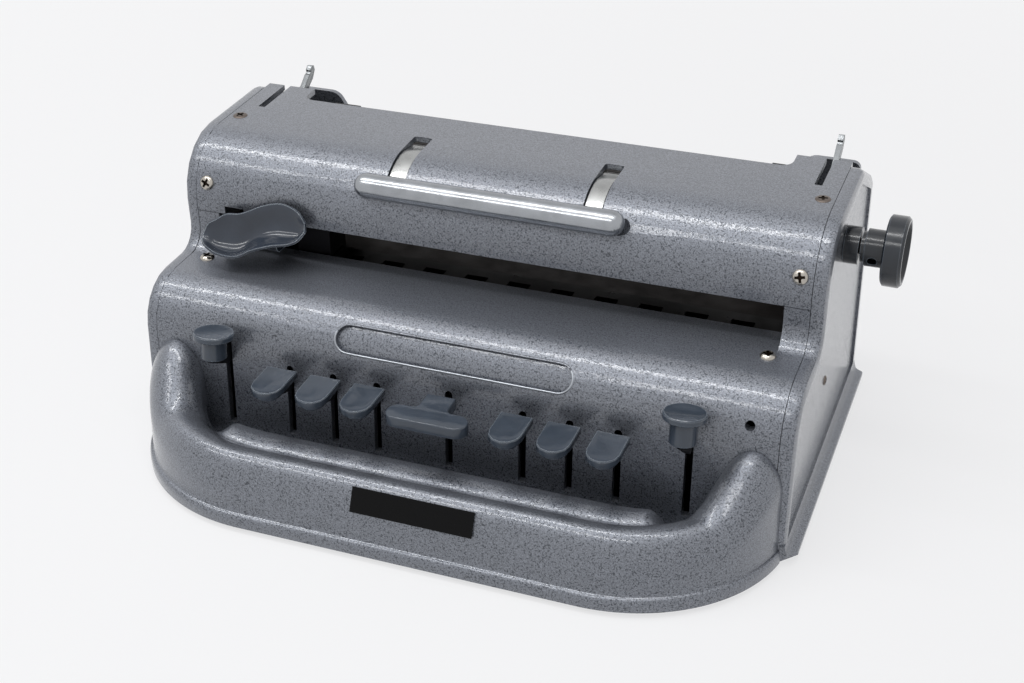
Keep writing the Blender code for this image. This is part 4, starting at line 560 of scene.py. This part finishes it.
handRest = {  # millimetres and degrees; each row: shares of the rest's depth and height, then the horn's
    "front": -68.9, "cornerX": 90.0, "cornerY": 17.0, "radius": 85.0, "height": 39.5, "hornHeight": 62.0,
    "hornWidth": 33.0, "depth": 49.0, "floor": 10.0, "floorRearX": 130.0, "wall": 3.0, "ground": 3.0,
    "panelFoot": -6.0, "panelLean": 7.2, "shoulder": 90.0, "gap": 0.3, "ledgeRow": 11,
    "crestBlend": (12, 45), "ledgeBlend": (45, 66), "stations": 44, "rowSteps": 4,
    "rows": (
        ((0.000, 0.076), (0.000, 0.048)), ((0.000, 0.190), (0.000, 0.121)), ((0.022, 0.248), (0.018, 0.158)),
        ((0.060, 0.285), (0.048, 0.181)), ((0.082, 0.506), (0.060, 0.480)), ((0.122, 0.709), (0.067, 0.725)),
        ((0.184, 0.886), (0.180, 0.880)), ((0.255, 0.977), (0.330, 0.968)), ((0.327, 1.000), (0.500, 1.000)),
        ((0.430, 0.962), (0.680, 0.968)), ((0.530, 0.873), (0.850, 0.870)), ((0.602, 0.785), (0.955, 0.725)),
        ((0.694, 0.823), (0.985, 0.580)), ((0.796, 0.841), (1.000, 0.468)), ((0.898, 0.810), (1.000, 0.371)),
        ((0.969, 0.722), (1.000, 0.274)), ((0.990, 0.557), (1.006, 0.210)), ((1.000, 0.304), (1.030, 0.177)),
        ((1.041, 0.253), (1.090, 0.161)),
    ),
}


def panelFace(size, height):
    # The leaning front panel's face at a height, less the gap the rest keeps from it
    share = (height - size["ground"]) / (size["shoulder"] - size["ground"])
    return size["panelFoot"] + size["panelLean"] * share - size["gap"]


def insetSection(section, size, inset):
    # Moves a section's points inwards by the wall, in the rest's plane and in the horn's
    for column in (0, 1):
        flat = [Vector((one[column], one[2])) for one in section]
        for i in range(1, len(flat)):
            along = (flat[min(i + 1, len(flat) - 1)] - flat[i - 1]).normalized()
            moved = flat[i] + Vector((along.y, -along.x)) * inset
            one = list(section[i])
            one[column] = moved.x
            one[2] = moved.y if column == 0 else one[2]
            section[i] = tuple(one)
    section[0] = (inset, inset, size["ground"])
    section[1] = (inset, inset, section[1][2])


def handRestStation(size, angle, xShare, inset):
    # One section of the shell, at an angle round the corner from the horn to the straight front
    first = math.asin(size["cornerY"] / size["radius"])
    turn = math.radians(angle)
    side = math.cos(turn) / math.cos(first)
    frontShare = (math.sin(turn) - math.sin(first)) / (1 - math.sin(first))
    rise = softStep(angle, *size["crestBlend"])
    ledge = softStep(angle, *size["ledgeBlend"])
    low, tall = size["floor"], size["hornHeight"]
    crest = tall + (size["height"] - tall) * rise
    startX = size["cornerX"] + size["radius"] * math.cos(first)
    section = []
    for row, ((a, b), (c, d)) in enumerate(size["rows"]):
        rest = Vector((a * size["depth"], b * size["height"]))
        horn = Vector((c * size["hornWidth"], d * tall))
        if row < size["ledgeRow"]:
            height = horn.y + (rest.y - horn.y) * rise
        else:
            wall = low + (horn.y - low) * (crest - low) / (tall - low)
            height = wall + (rest.y - wall) * ledge
        section.append((rest.x, horn.x, height))
    if inset:
        insetSection(section, size, inset)
    points = []
    for restIn, hornIn, height in section:
        rearY = panelFace(size, height)
        x = size["cornerX"] + (startX - hornIn - size["cornerX"]) * side
        y = rearY - (rearY - size["front"] - restIn) * frontShare
        points.append(Vector((x * xShare, y, height)))
    floorX = size["cornerX"] + (size["floorRearX"] - size["cornerX"]) * side
    points.append(Vector((floorX * xShare, panelFace(size, low - inset), low - inset)))
    return points


def makeHandRest(size):
    # A cast shell: a broad rolled rest whose ends climb into two horns beside the keys
    first = math.degrees(math.asin(size["cornerY"] / size["radius"]))
    count = size["stations"]
    angles = [(first + (90 - first) * k / count, 1) for k in range(count + 1)] + [(90, 0)]
    bm = bmesh.new()
    for mirror in (1, -1):
        shells = []
        for inset in (0, size["wall"]):
            shell = []
            for angle, share in angles:
                section = handRestStation(size, angle, share, inset)
                if not inset:
                    section = curveThrough(section[:-1], size["rowSteps"]) + [section[-1]]
                shell.append([bm.verts.new(at(p.x * mirror, p.y, p.z)) for p in section])
            shells.append(shell)
            for a, b in zip(shell[:-1], shell[1:]):
                for r in range(len(a) - 1):
                    bm.faces.new((a[r], b[r], b[r + 1], a[r + 1]))
        outer, inner = shells
        for k in range(len(outer) - 1):
            for end in (0, -1):
                bm.faces.new((outer[k][end], outer[k + 1][end], inner[k + 1][end], inner[k][end]))
        bm.faces.new(outer[0] + inner[0][::-1])
    finishMesh(bm, "handRestShell", "enamel", "housing", "hammertone_paint", "hand_rest")


makeHandRest(handRest)
print("hand rest made")

# Finger scoop on the carriage lever

scoop = {  # millimetres; each row: place along, upper and lower rim as shares of the rise and the depth
    "left": -157.0, "length": 57.7, "low": 97.7, "rise": 27.5, "front": 29.0, "depth": 19.0, "wall": 1.5,
    "stations": 5, "across": 28, "square": 3.8, "round": 2.2, "fullGap": 14, "trayBlend": (0.28, 0.5),
    "dip": 2.6, "dipPower": 1.4, "dipLean": 0.8, "dipBlend": (0.0, 0.15), "rimAngle": 55, "rimRound": 0.3,
    "rims": (
        (0.000, 0.277, 0.220, 0.47, 0.37), (0.045, 0.476, 0.186, 0.58, 0.21),
        (0.115, 0.560, 0.140, 0.68, 0.11), (0.206, 0.673, 0.095, 0.79, 0.03),
        (0.330, 0.700, 0.080, 0.84, 0.00), (0.430, 0.780, 0.110, 0.89, 0.04),
        (0.565, 0.913, 0.260, 0.95, 0.09), (0.705, 0.993, 0.350, 1.00, 0.20),
        (0.795, 0.993, 0.375, 1.00, 0.30), (0.885, 0.931, 0.390, 1.00, 0.40),
        (0.952, 0.836, 0.430, 0.95, 0.58), (1.000, 0.700, 0.560, 0.90, 0.78),
    ),
    "arm": ((41.5, 105.8), (43.0, 99.5), (45.0, 97.75), (76.0, 97.75), (77.5, 99.3), (77.5, 101.7),
            (76.0, 103.25), (53.5, 103.25), (51.4, 104.4), (50.2, 107.5)),
    "armX": (-122.5, -115.5), "pin": (73.5, 100.5, 2.0, 7.0), "pinSides": 24,
}


def scoopRow(bm, size, share, upper, lower):
    # One section across the scoop: from the upper rim down and forward to the lower rim
    closed = min(1, (upper - lower).length / size["fullGap"])
    tray = softStep(share, *size["trayBlend"])
    power = 2 / (2 + (size["round"] + (size["square"] - size["round"]) * tray - 2) * closed)
    dip = size["dip"] * closed * (1 - tray) * softStep(share, *size["dipBlend"])
    x = size["left"] + size["length"] * share
    row = []
    for k in range(size["across"] + 1):
        a = math.pi / 2 * k / size["across"]
        c, s = math.cos(a) ** power if k < size["across"] else 0.0, math.sin(a) ** power if k else 0.0
        y = upper.x + (lower.x - upper.x) * (1 - c)
        sunk = dip * math.sin(math.pi * (1 - c) ** size["dipLean"]) ** size["dipPower"]
        row.append(bm.verts.new(at(x, y, upper.y + (lower.y - upper.y) * s - sunk)))
    return row


def thicken(bm, size):
    # Gives the open skin its wall and rounds the rim that runs all the way about it
    skin = list(bm.verts)
    faces = [list(face.verts) for face in bm.faces]
    rim = [list(edge.verts) for edge in bm.edges if edge.is_boundary]
    back = {vert: bm.verts.new(vert.co - vert.normal * size["wall"] * mm) for vert in skin}
    for face in faces:
        bm.faces.new([back[vert] for vert in reversed(face)])
    for a, b in rim:
        bm.faces.new((a, b, back[b], back[a]))
    bmesh.ops.recalc_face_normals(bm, faces=bm.faces)
    sharp = math.radians(size["rimAngle"])
    edges = [edge for edge in bm.edges if len(edge.link_faces) == 2 and edge.calc_face_angle(0) > sharp]
    bmesh.ops.bevel(bm, geom=edges, offset=size["wall"] * size["rimRound"] * mm, segments=2, affect="EDGES",
                    profile=0.5)


def makeScoop(size):
    # A thin moulded shell: an upright back that turns in one tight fold into a floor, with a
    # shallow round bowl for the fingertip at its left end
    heights = curveThrough([Vector(row[:3]) for row in size["rims"]], size["stations"])
    depths = curveThrough([Vector((row[0], *row[3:])) for row in size["rims"]], size["stations"])
    bm = bmesh.new()
    rows = []
    for one, two in zip(heights, depths):
        upper = Vector((size["front"] + size["depth"] * two.y, size["low"] + size["rise"] * one.y))
        lower = Vector((size["front"] + size["depth"] * two.z, size["low"] + size["rise"] * one.z))
        rows.append(scoopRow(bm, size, one.x, upper, lower))
    for left, right in zip(rows[:-1], rows[1:]):
        for k in range(len(left) - 1):
            bm.faces.new((left[k], right[k], right[k + 1], left[k + 1]))
    bm.normal_update()
    if sum(face.normal.y for face in bm.faces) > 0:
        bmesh.ops.reverse_faces(bm, faces=bm.faces[:])
    bm.normal_update()
    thicken(bm, size)
    # The arm back to the hinge and its pin, both closed at the ends
    pinY, pinZ, radius, half = size["pin"]
    middle = sum(size["armX"]) / 2
    turns = [math.tau * k / size["pinSides"] for k in range(size["pinSides"])]
    circle = [(pinY + radius * math.cos(a), pinZ + radius * math.sin(a)) for a in turns]
    for outline, places in ((size["arm"], size["armX"]), (circle, (middle - half, middle + half))):
        ends = [[bm.verts.new(at(x, y, z)) for y, z in outline] for x in places]
        bridge(bm, *ends)
        for end in ends:
            bm.faces.new(end)
    finishMesh(bm, "fingerScoop", "scoop", "carriage_lever", "key_plastic", "carriage_lever")


makeScoop(scoop)
print("finger scoop made")

# Case screws

screwSizes = {"Head Radius": 4.0 * mm, "Head Height": 1.9 * mm, "Recess Length": 5.2 * mm,
              "Recess Width": 1.35 * mm, "Recess Depth": 1.3 * mm}
flushSizes = {**screwSizes, "Head Height": 0.7 * mm, "Recess Depth": 0.5 * mm, "Recess Length": 4.6 * mm}
endSizes = {**screwSizes, "Head Radius": 2.6 * mm, "Head Height": 0.8 * mm, "Recess Depth": 0.6 * mm,
            "Recess Length": 3.6 * mm, "Recess Width": 0.9 * mm}
# Shares of the head's or the recess's sizes, and counts
screwShape = {"domeRise": 1.25, "slabWidth": 3.0, "segments": 40, "rings": 24, "tipTop": 1.35, "tipEnd": 0.5,
              "tipSides": 24, "seed": 4}
coverBrow = {"y": 85, "z": 116.5, "radius": 32, "tilt": 19.5, "screwX": 161.2}  # millimetres and degrees


def browScrews(brow):
    # One at each end of the cover's brow, heads square to its curve
    away, up = math.cos(math.radians(brow["tilt"])), math.sin(math.radians(brow["tilt"]))
    y, z = brow["y"] - brow["radius"] * away, brow["z"] + brow["radius"] * up
    return [(side * brow["screwX"], y, z, (0, -away, up)) for side in (-1, 1)]


# Each place in millimetres, with the way the head points
casePlaces = browScrews(coverBrow) + [(-157.2, 39.5, 90.0, (0, 0, 1)), (151.5, 39.1, 90.0, (0, 0, 1))]
topPlaces = [(side * 161.7, 97.4, 148.5, (0, 0, 1)) for side in (-1, 1)]
endPlaces = [(side * 173.8, 78.0, 57.0, (side, 0, 0)) for side in (-1, 1)]


def combineXyz(tree, **parts):
    links = {key.upper(): value for key, value in parts.items()}
    return addNode(tree, "ShaderNodeCombineXYZ", None, links).outputs[0]


def shifted(tree, geometry, height):
    # The geometry moved up along Z by the given socket
    return addNode(tree, "GeometryNodeTransform", None,
                   {"Geometry": geometry, "Translation": combineXyz(tree, z=height)})


def screwTree(shape):
    # A cross-recess screw on each point, its head along the point's outward direction
    tree = bpy.data.node_groups.new("crossRecessScrew", "GeometryNodeTree")
    sockets = [("Points", "Geometry"), *((name, "Float") for name in screwSizes), ("Seed", "Int"),
               ("Finish", "Material"), ("Recess Finish", "Material")]
    for name, kind in sockets:
        tree.interface.new_socket(name, in_out="INPUT", socket_type="NodeSocket" + kind)
    tree.interface.new_socket("Screws", in_out="OUTPUT", socket_type="NodeSocketGeometry")
    start = addNode(tree, "NodeGroupInput").outputs
    radius, height = start["Head Radius"], start["Head Height"]
    # The head: the top of a flattened ball, cut off level at its seat
    domeScale = combineXyz(tree, x=radius, y=radius, z=mathNode(tree, "MULTIPLY", height, shape["domeRise"]))
    ball = addNode(tree, "GeometryNodeMeshUVSphere",
                   {"Segments": shape["segments"], "Rings": shape["rings"], "Radius": 1.0})
    dome = addNode(tree, "GeometryNodeTransform", None,
                   {"Geometry": ball.outputs["Mesh"], "Scale": domeScale})
    across = mathNode(tree, "MULTIPLY", radius, shape["slabWidth"])
    slab = addNode(tree, "GeometryNodeMeshCube", None,
                   {"Size": combineXyz(tree, x=across, y=across, z=height)})
    slab = shifted(tree, slab.outputs["Mesh"], mathNode(tree, "MULTIPLY", height, 0.5))
    head = addNode(tree, "GeometryNodeMeshBoolean", {"operation": "INTERSECT", "solver": "EXACT"})
    for piece in (dome, slab):
        tree.links.new(piece.outputs[0], head.inputs["Mesh 2"])
    plated = addNode(tree, "GeometryNodeSetMaterial", None,
                     {0: head.outputs["Mesh"], "Material": start["Finish"]})
    # The recess: two crossed bars and a blunt point
    deep = mathNode(tree, "MULTIPLY", start["Recess Depth"], 2.0)
    cutters = []
    for first, second in (("Recess Length", "Recess Width"), ("Recess Width", "Recess Length")):
        size = combineXyz(tree, x=start[first], y=start[second], z=deep)
        bar = addNode(tree, "GeometryNodeMeshCube", None, {"Size": size})
        cutters.append(shifted(tree, bar.outputs["Mesh"], height))
    tipTop = mathNode(tree, "MULTIPLY", start["Recess Width"], shape["tipTop"])
    tipEnd = mathNode(tree, "MULTIPLY", start["Recess Width"], shape["tipEnd"])
    tip = addNode(tree, "GeometryNodeMeshCone", {"Vertices": shape["tipSides"]},
                  {"Radius Top": tipTop, "Radius Bottom": tipEnd, "Depth": deep})
    seat = mathNode(tree, "SUBTRACT", height, start["Recess Depth"])
    cutters.append(shifted(tree, tip.outputs["Mesh"], seat))
    cutHead = addNode(tree, "GeometryNodeMeshBoolean", {"operation": "DIFFERENCE", "solver": "EXACT"},
                      {"Mesh 1": plated.outputs[0]})
    # The recess faces take a darker finish than the head
    for cutter in cutters:
        recessDarkened = addNode(tree, "GeometryNodeSetMaterial", None,
                            {0: cutter.outputs[0], "Material": start["Recess Finish"]})
        tree.links.new(recessDarkened.outputs[0], cutHead.inputs["Mesh 2"])
    # Each screw stands out along its own direction and has stopped at a chance turn
    outward = addNode(tree, "GeometryNodeInputNamedAttribute",
                      {"data_type": "FLOAT_VECTOR", "Name": "outward"})
    facing = addNode(tree, "FunctionNodeAlignRotationToVector", {"axis": "Z"}, {"Vector": outward.outputs[0]})
    spin = addNode(tree, "FunctionNodeRandomValue", {"data_type": "FLOAT", 2: 0.0, 3: math.pi / 2},
                   {"Seed": start["Seed"]})
    spinTurn = addNode(tree, "FunctionNodeEulerToRotation", None, {0: combineXyz(tree, z=spin.outputs[1])})
    turned = addNode(tree, "FunctionNodeRotateRotation", {"rotation_space": "LOCAL"},
                     {"Rotation": facing.outputs[0], "Rotate By": spinTurn.outputs[0]})
    placed = addNode(
        tree, "GeometryNodeInstanceOnPoints", None,
        {"Points": start["Points"], "Instance": cutHead.outputs["Mesh"], "Rotation": turned.outputs[0]})
    real = addNode(tree, "GeometryNodeRealizeInstances", None, {0: placed.outputs[0]})
    smooth = addNode(tree, "GeometryNodeGroup", {"node_tree": smoothGroup}, {0: real.outputs[0]})
    outside = addNode(tree, "GeometryNodeMaterialSelection", None, {"Material": start["Finish"]})
    painted = addNode(tree, "GeometryNodeSetMaterial", None,
                      {0: smooth.outputs[0], "Selection": outside.outputs[0], "Material": start["Finish"]})
    addNode(tree, "NodeGroupOutput", None, {0: painted.outputs[0]})
    return tree


def makeScrews(name, places, sizes, finish, body, tree):
    mesh = bpy.data.meshes.new(name + "Points")
    mesh.from_pydata([at(x, y, z) for x, y, z, _ in places], [], [])
    ways = mesh.attributes.new("outward", "FLOAT_VECTOR", "POINT")
    for item, (*_, way) in zip(ways.data, places):
        item.vector = way
    holder = link(bpy.data.objects.new(name + "Points", mesh))
    made = holder.modifiers.new("screws", "NODES")
    made.node_group = tree
    named = {item.name: item.identifier for item in tree.interface.items_tree}
    chosen = {**sizes, "Seed": screwShape["seed"], "Finish": finishes[finish],
              "Recess Finish": finishes["recessDark"]}
    for key, value in chosen.items():
        made[named[key]] = value
    bpy.context.view_layer.update()
    graph = bpy.context.evaluated_depsgraph_get()
    result = bpy.data.meshes.new_from_object(holder.evaluated_get(graph), preserve_all_data_layers=True,
                                             depsgraph=graph)
    result.name = name
    bpy.data.objects.remove(holder, do_unlink=True)
    piece = link(bpy.data.objects.new(name, result))
    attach(piece, body)
    print(name, "made:", len(places), "screws,", len(result.polygons), "faces")


# Nameplate rim

rim = {"browY": 24.2, "plateY": 26.2, "centreZ": 65.0, "radius": 25.0, "half": 64.0, "end": 7.6, "tilt": 58.0,
       "bead": 0.6, "sunk": 0.25, "around": 10, "turns": 14, "straights": 48, "highlightBelow": 0.5}


def rimPath(size):
    # The stadium's outline in the plate's own plane
    flat, end, straights, turns = size["half"] - size["end"], size["end"], size["straights"], size["turns"]
    path = []
    for side in (1, -1):
        path += [(side * flat * (2 * k / straights - 1), side * end) for k in range(straights)][::-1]
        angles = [math.pi * k / turns for k in range(turns)]
        path += [(-side * (flat + end * math.sin(a)), side * end * math.cos(a)) for a in angles]
    return path


def makeNameplateRim(size):
    # A thin cast bead round the bare nameplate, laid on the brow's curve, its lower side given a lighter
    # finish as a painted highlight
    path = rimPath(size)
    sinTilt, cosTilt = math.sin(math.radians(size["tilt"])), math.cos(math.radians(size["tilt"]))
    offset = size["plateY"] - size["browY"]
    bm = bmesh.new()
    rings = []
    for k, (u, v) in enumerate(path):
        before, after = Vector(path[k - 1]), Vector(path[(k + 1) % len(path)])
        along = (after - before).normalized()
        sideways = Vector((-along.y, along.x))
        ring = []
        for j in range(size["around"]):
            turn = math.tau * j / size["around"]
            reach = size["bead"] * math.cos(turn)
            radius = size["radius"] + size["bead"] * math.sin(turn) - size["sunk"]
            low = -v - sideways.y * reach
            # From the plate's tilted plane out along its normal until the brow is met
            out = offset * sinTilt + math.sqrt((offset * sinTilt) ** 2 + radius ** 2 - low ** 2 - offset ** 2
                                               + 2 * offset * low * cosTilt)
            y = size["plateY"] - out * sinTilt - low * cosTilt
            z = size["centreZ"] + out * cosTilt - low * sinTilt
            ring.append(bm.verts.new(at(u + sideways.x * reach, y, z)))
        rings.append(ring)
    for k, ring in enumerate(rings):
        # Painted highlight: faces on the lower side of the bead take the lighter finish
        rimHighlight = path[k][1] < size["end"] * size["highlightBelow"]
        for face in bridge(bm, ring, rings[(k + 1) % len(rings)]):
            face.material_index = 1 if rimHighlight else 0
    piece = finishMesh(bm, "nameplateRim", "enamel", "housing", "hammertone_paint")
    piece.data.materials.append(finishes["rimHighlight"])


makeNameplateRim(rim)
print("nameplate rim made")

screwGroup = screwTree(screwShape)
makeScrews("caseScrews", casePlaces, screwSizes, "nickel", "housing", screwGroup)
makeScrews("topScrews", topPlaces, flushSizes, "aged", "housing", screwGroup)
makeScrews("endPlateScrews", endPlaces, endSizes, "aged", "housing", screwGroup)
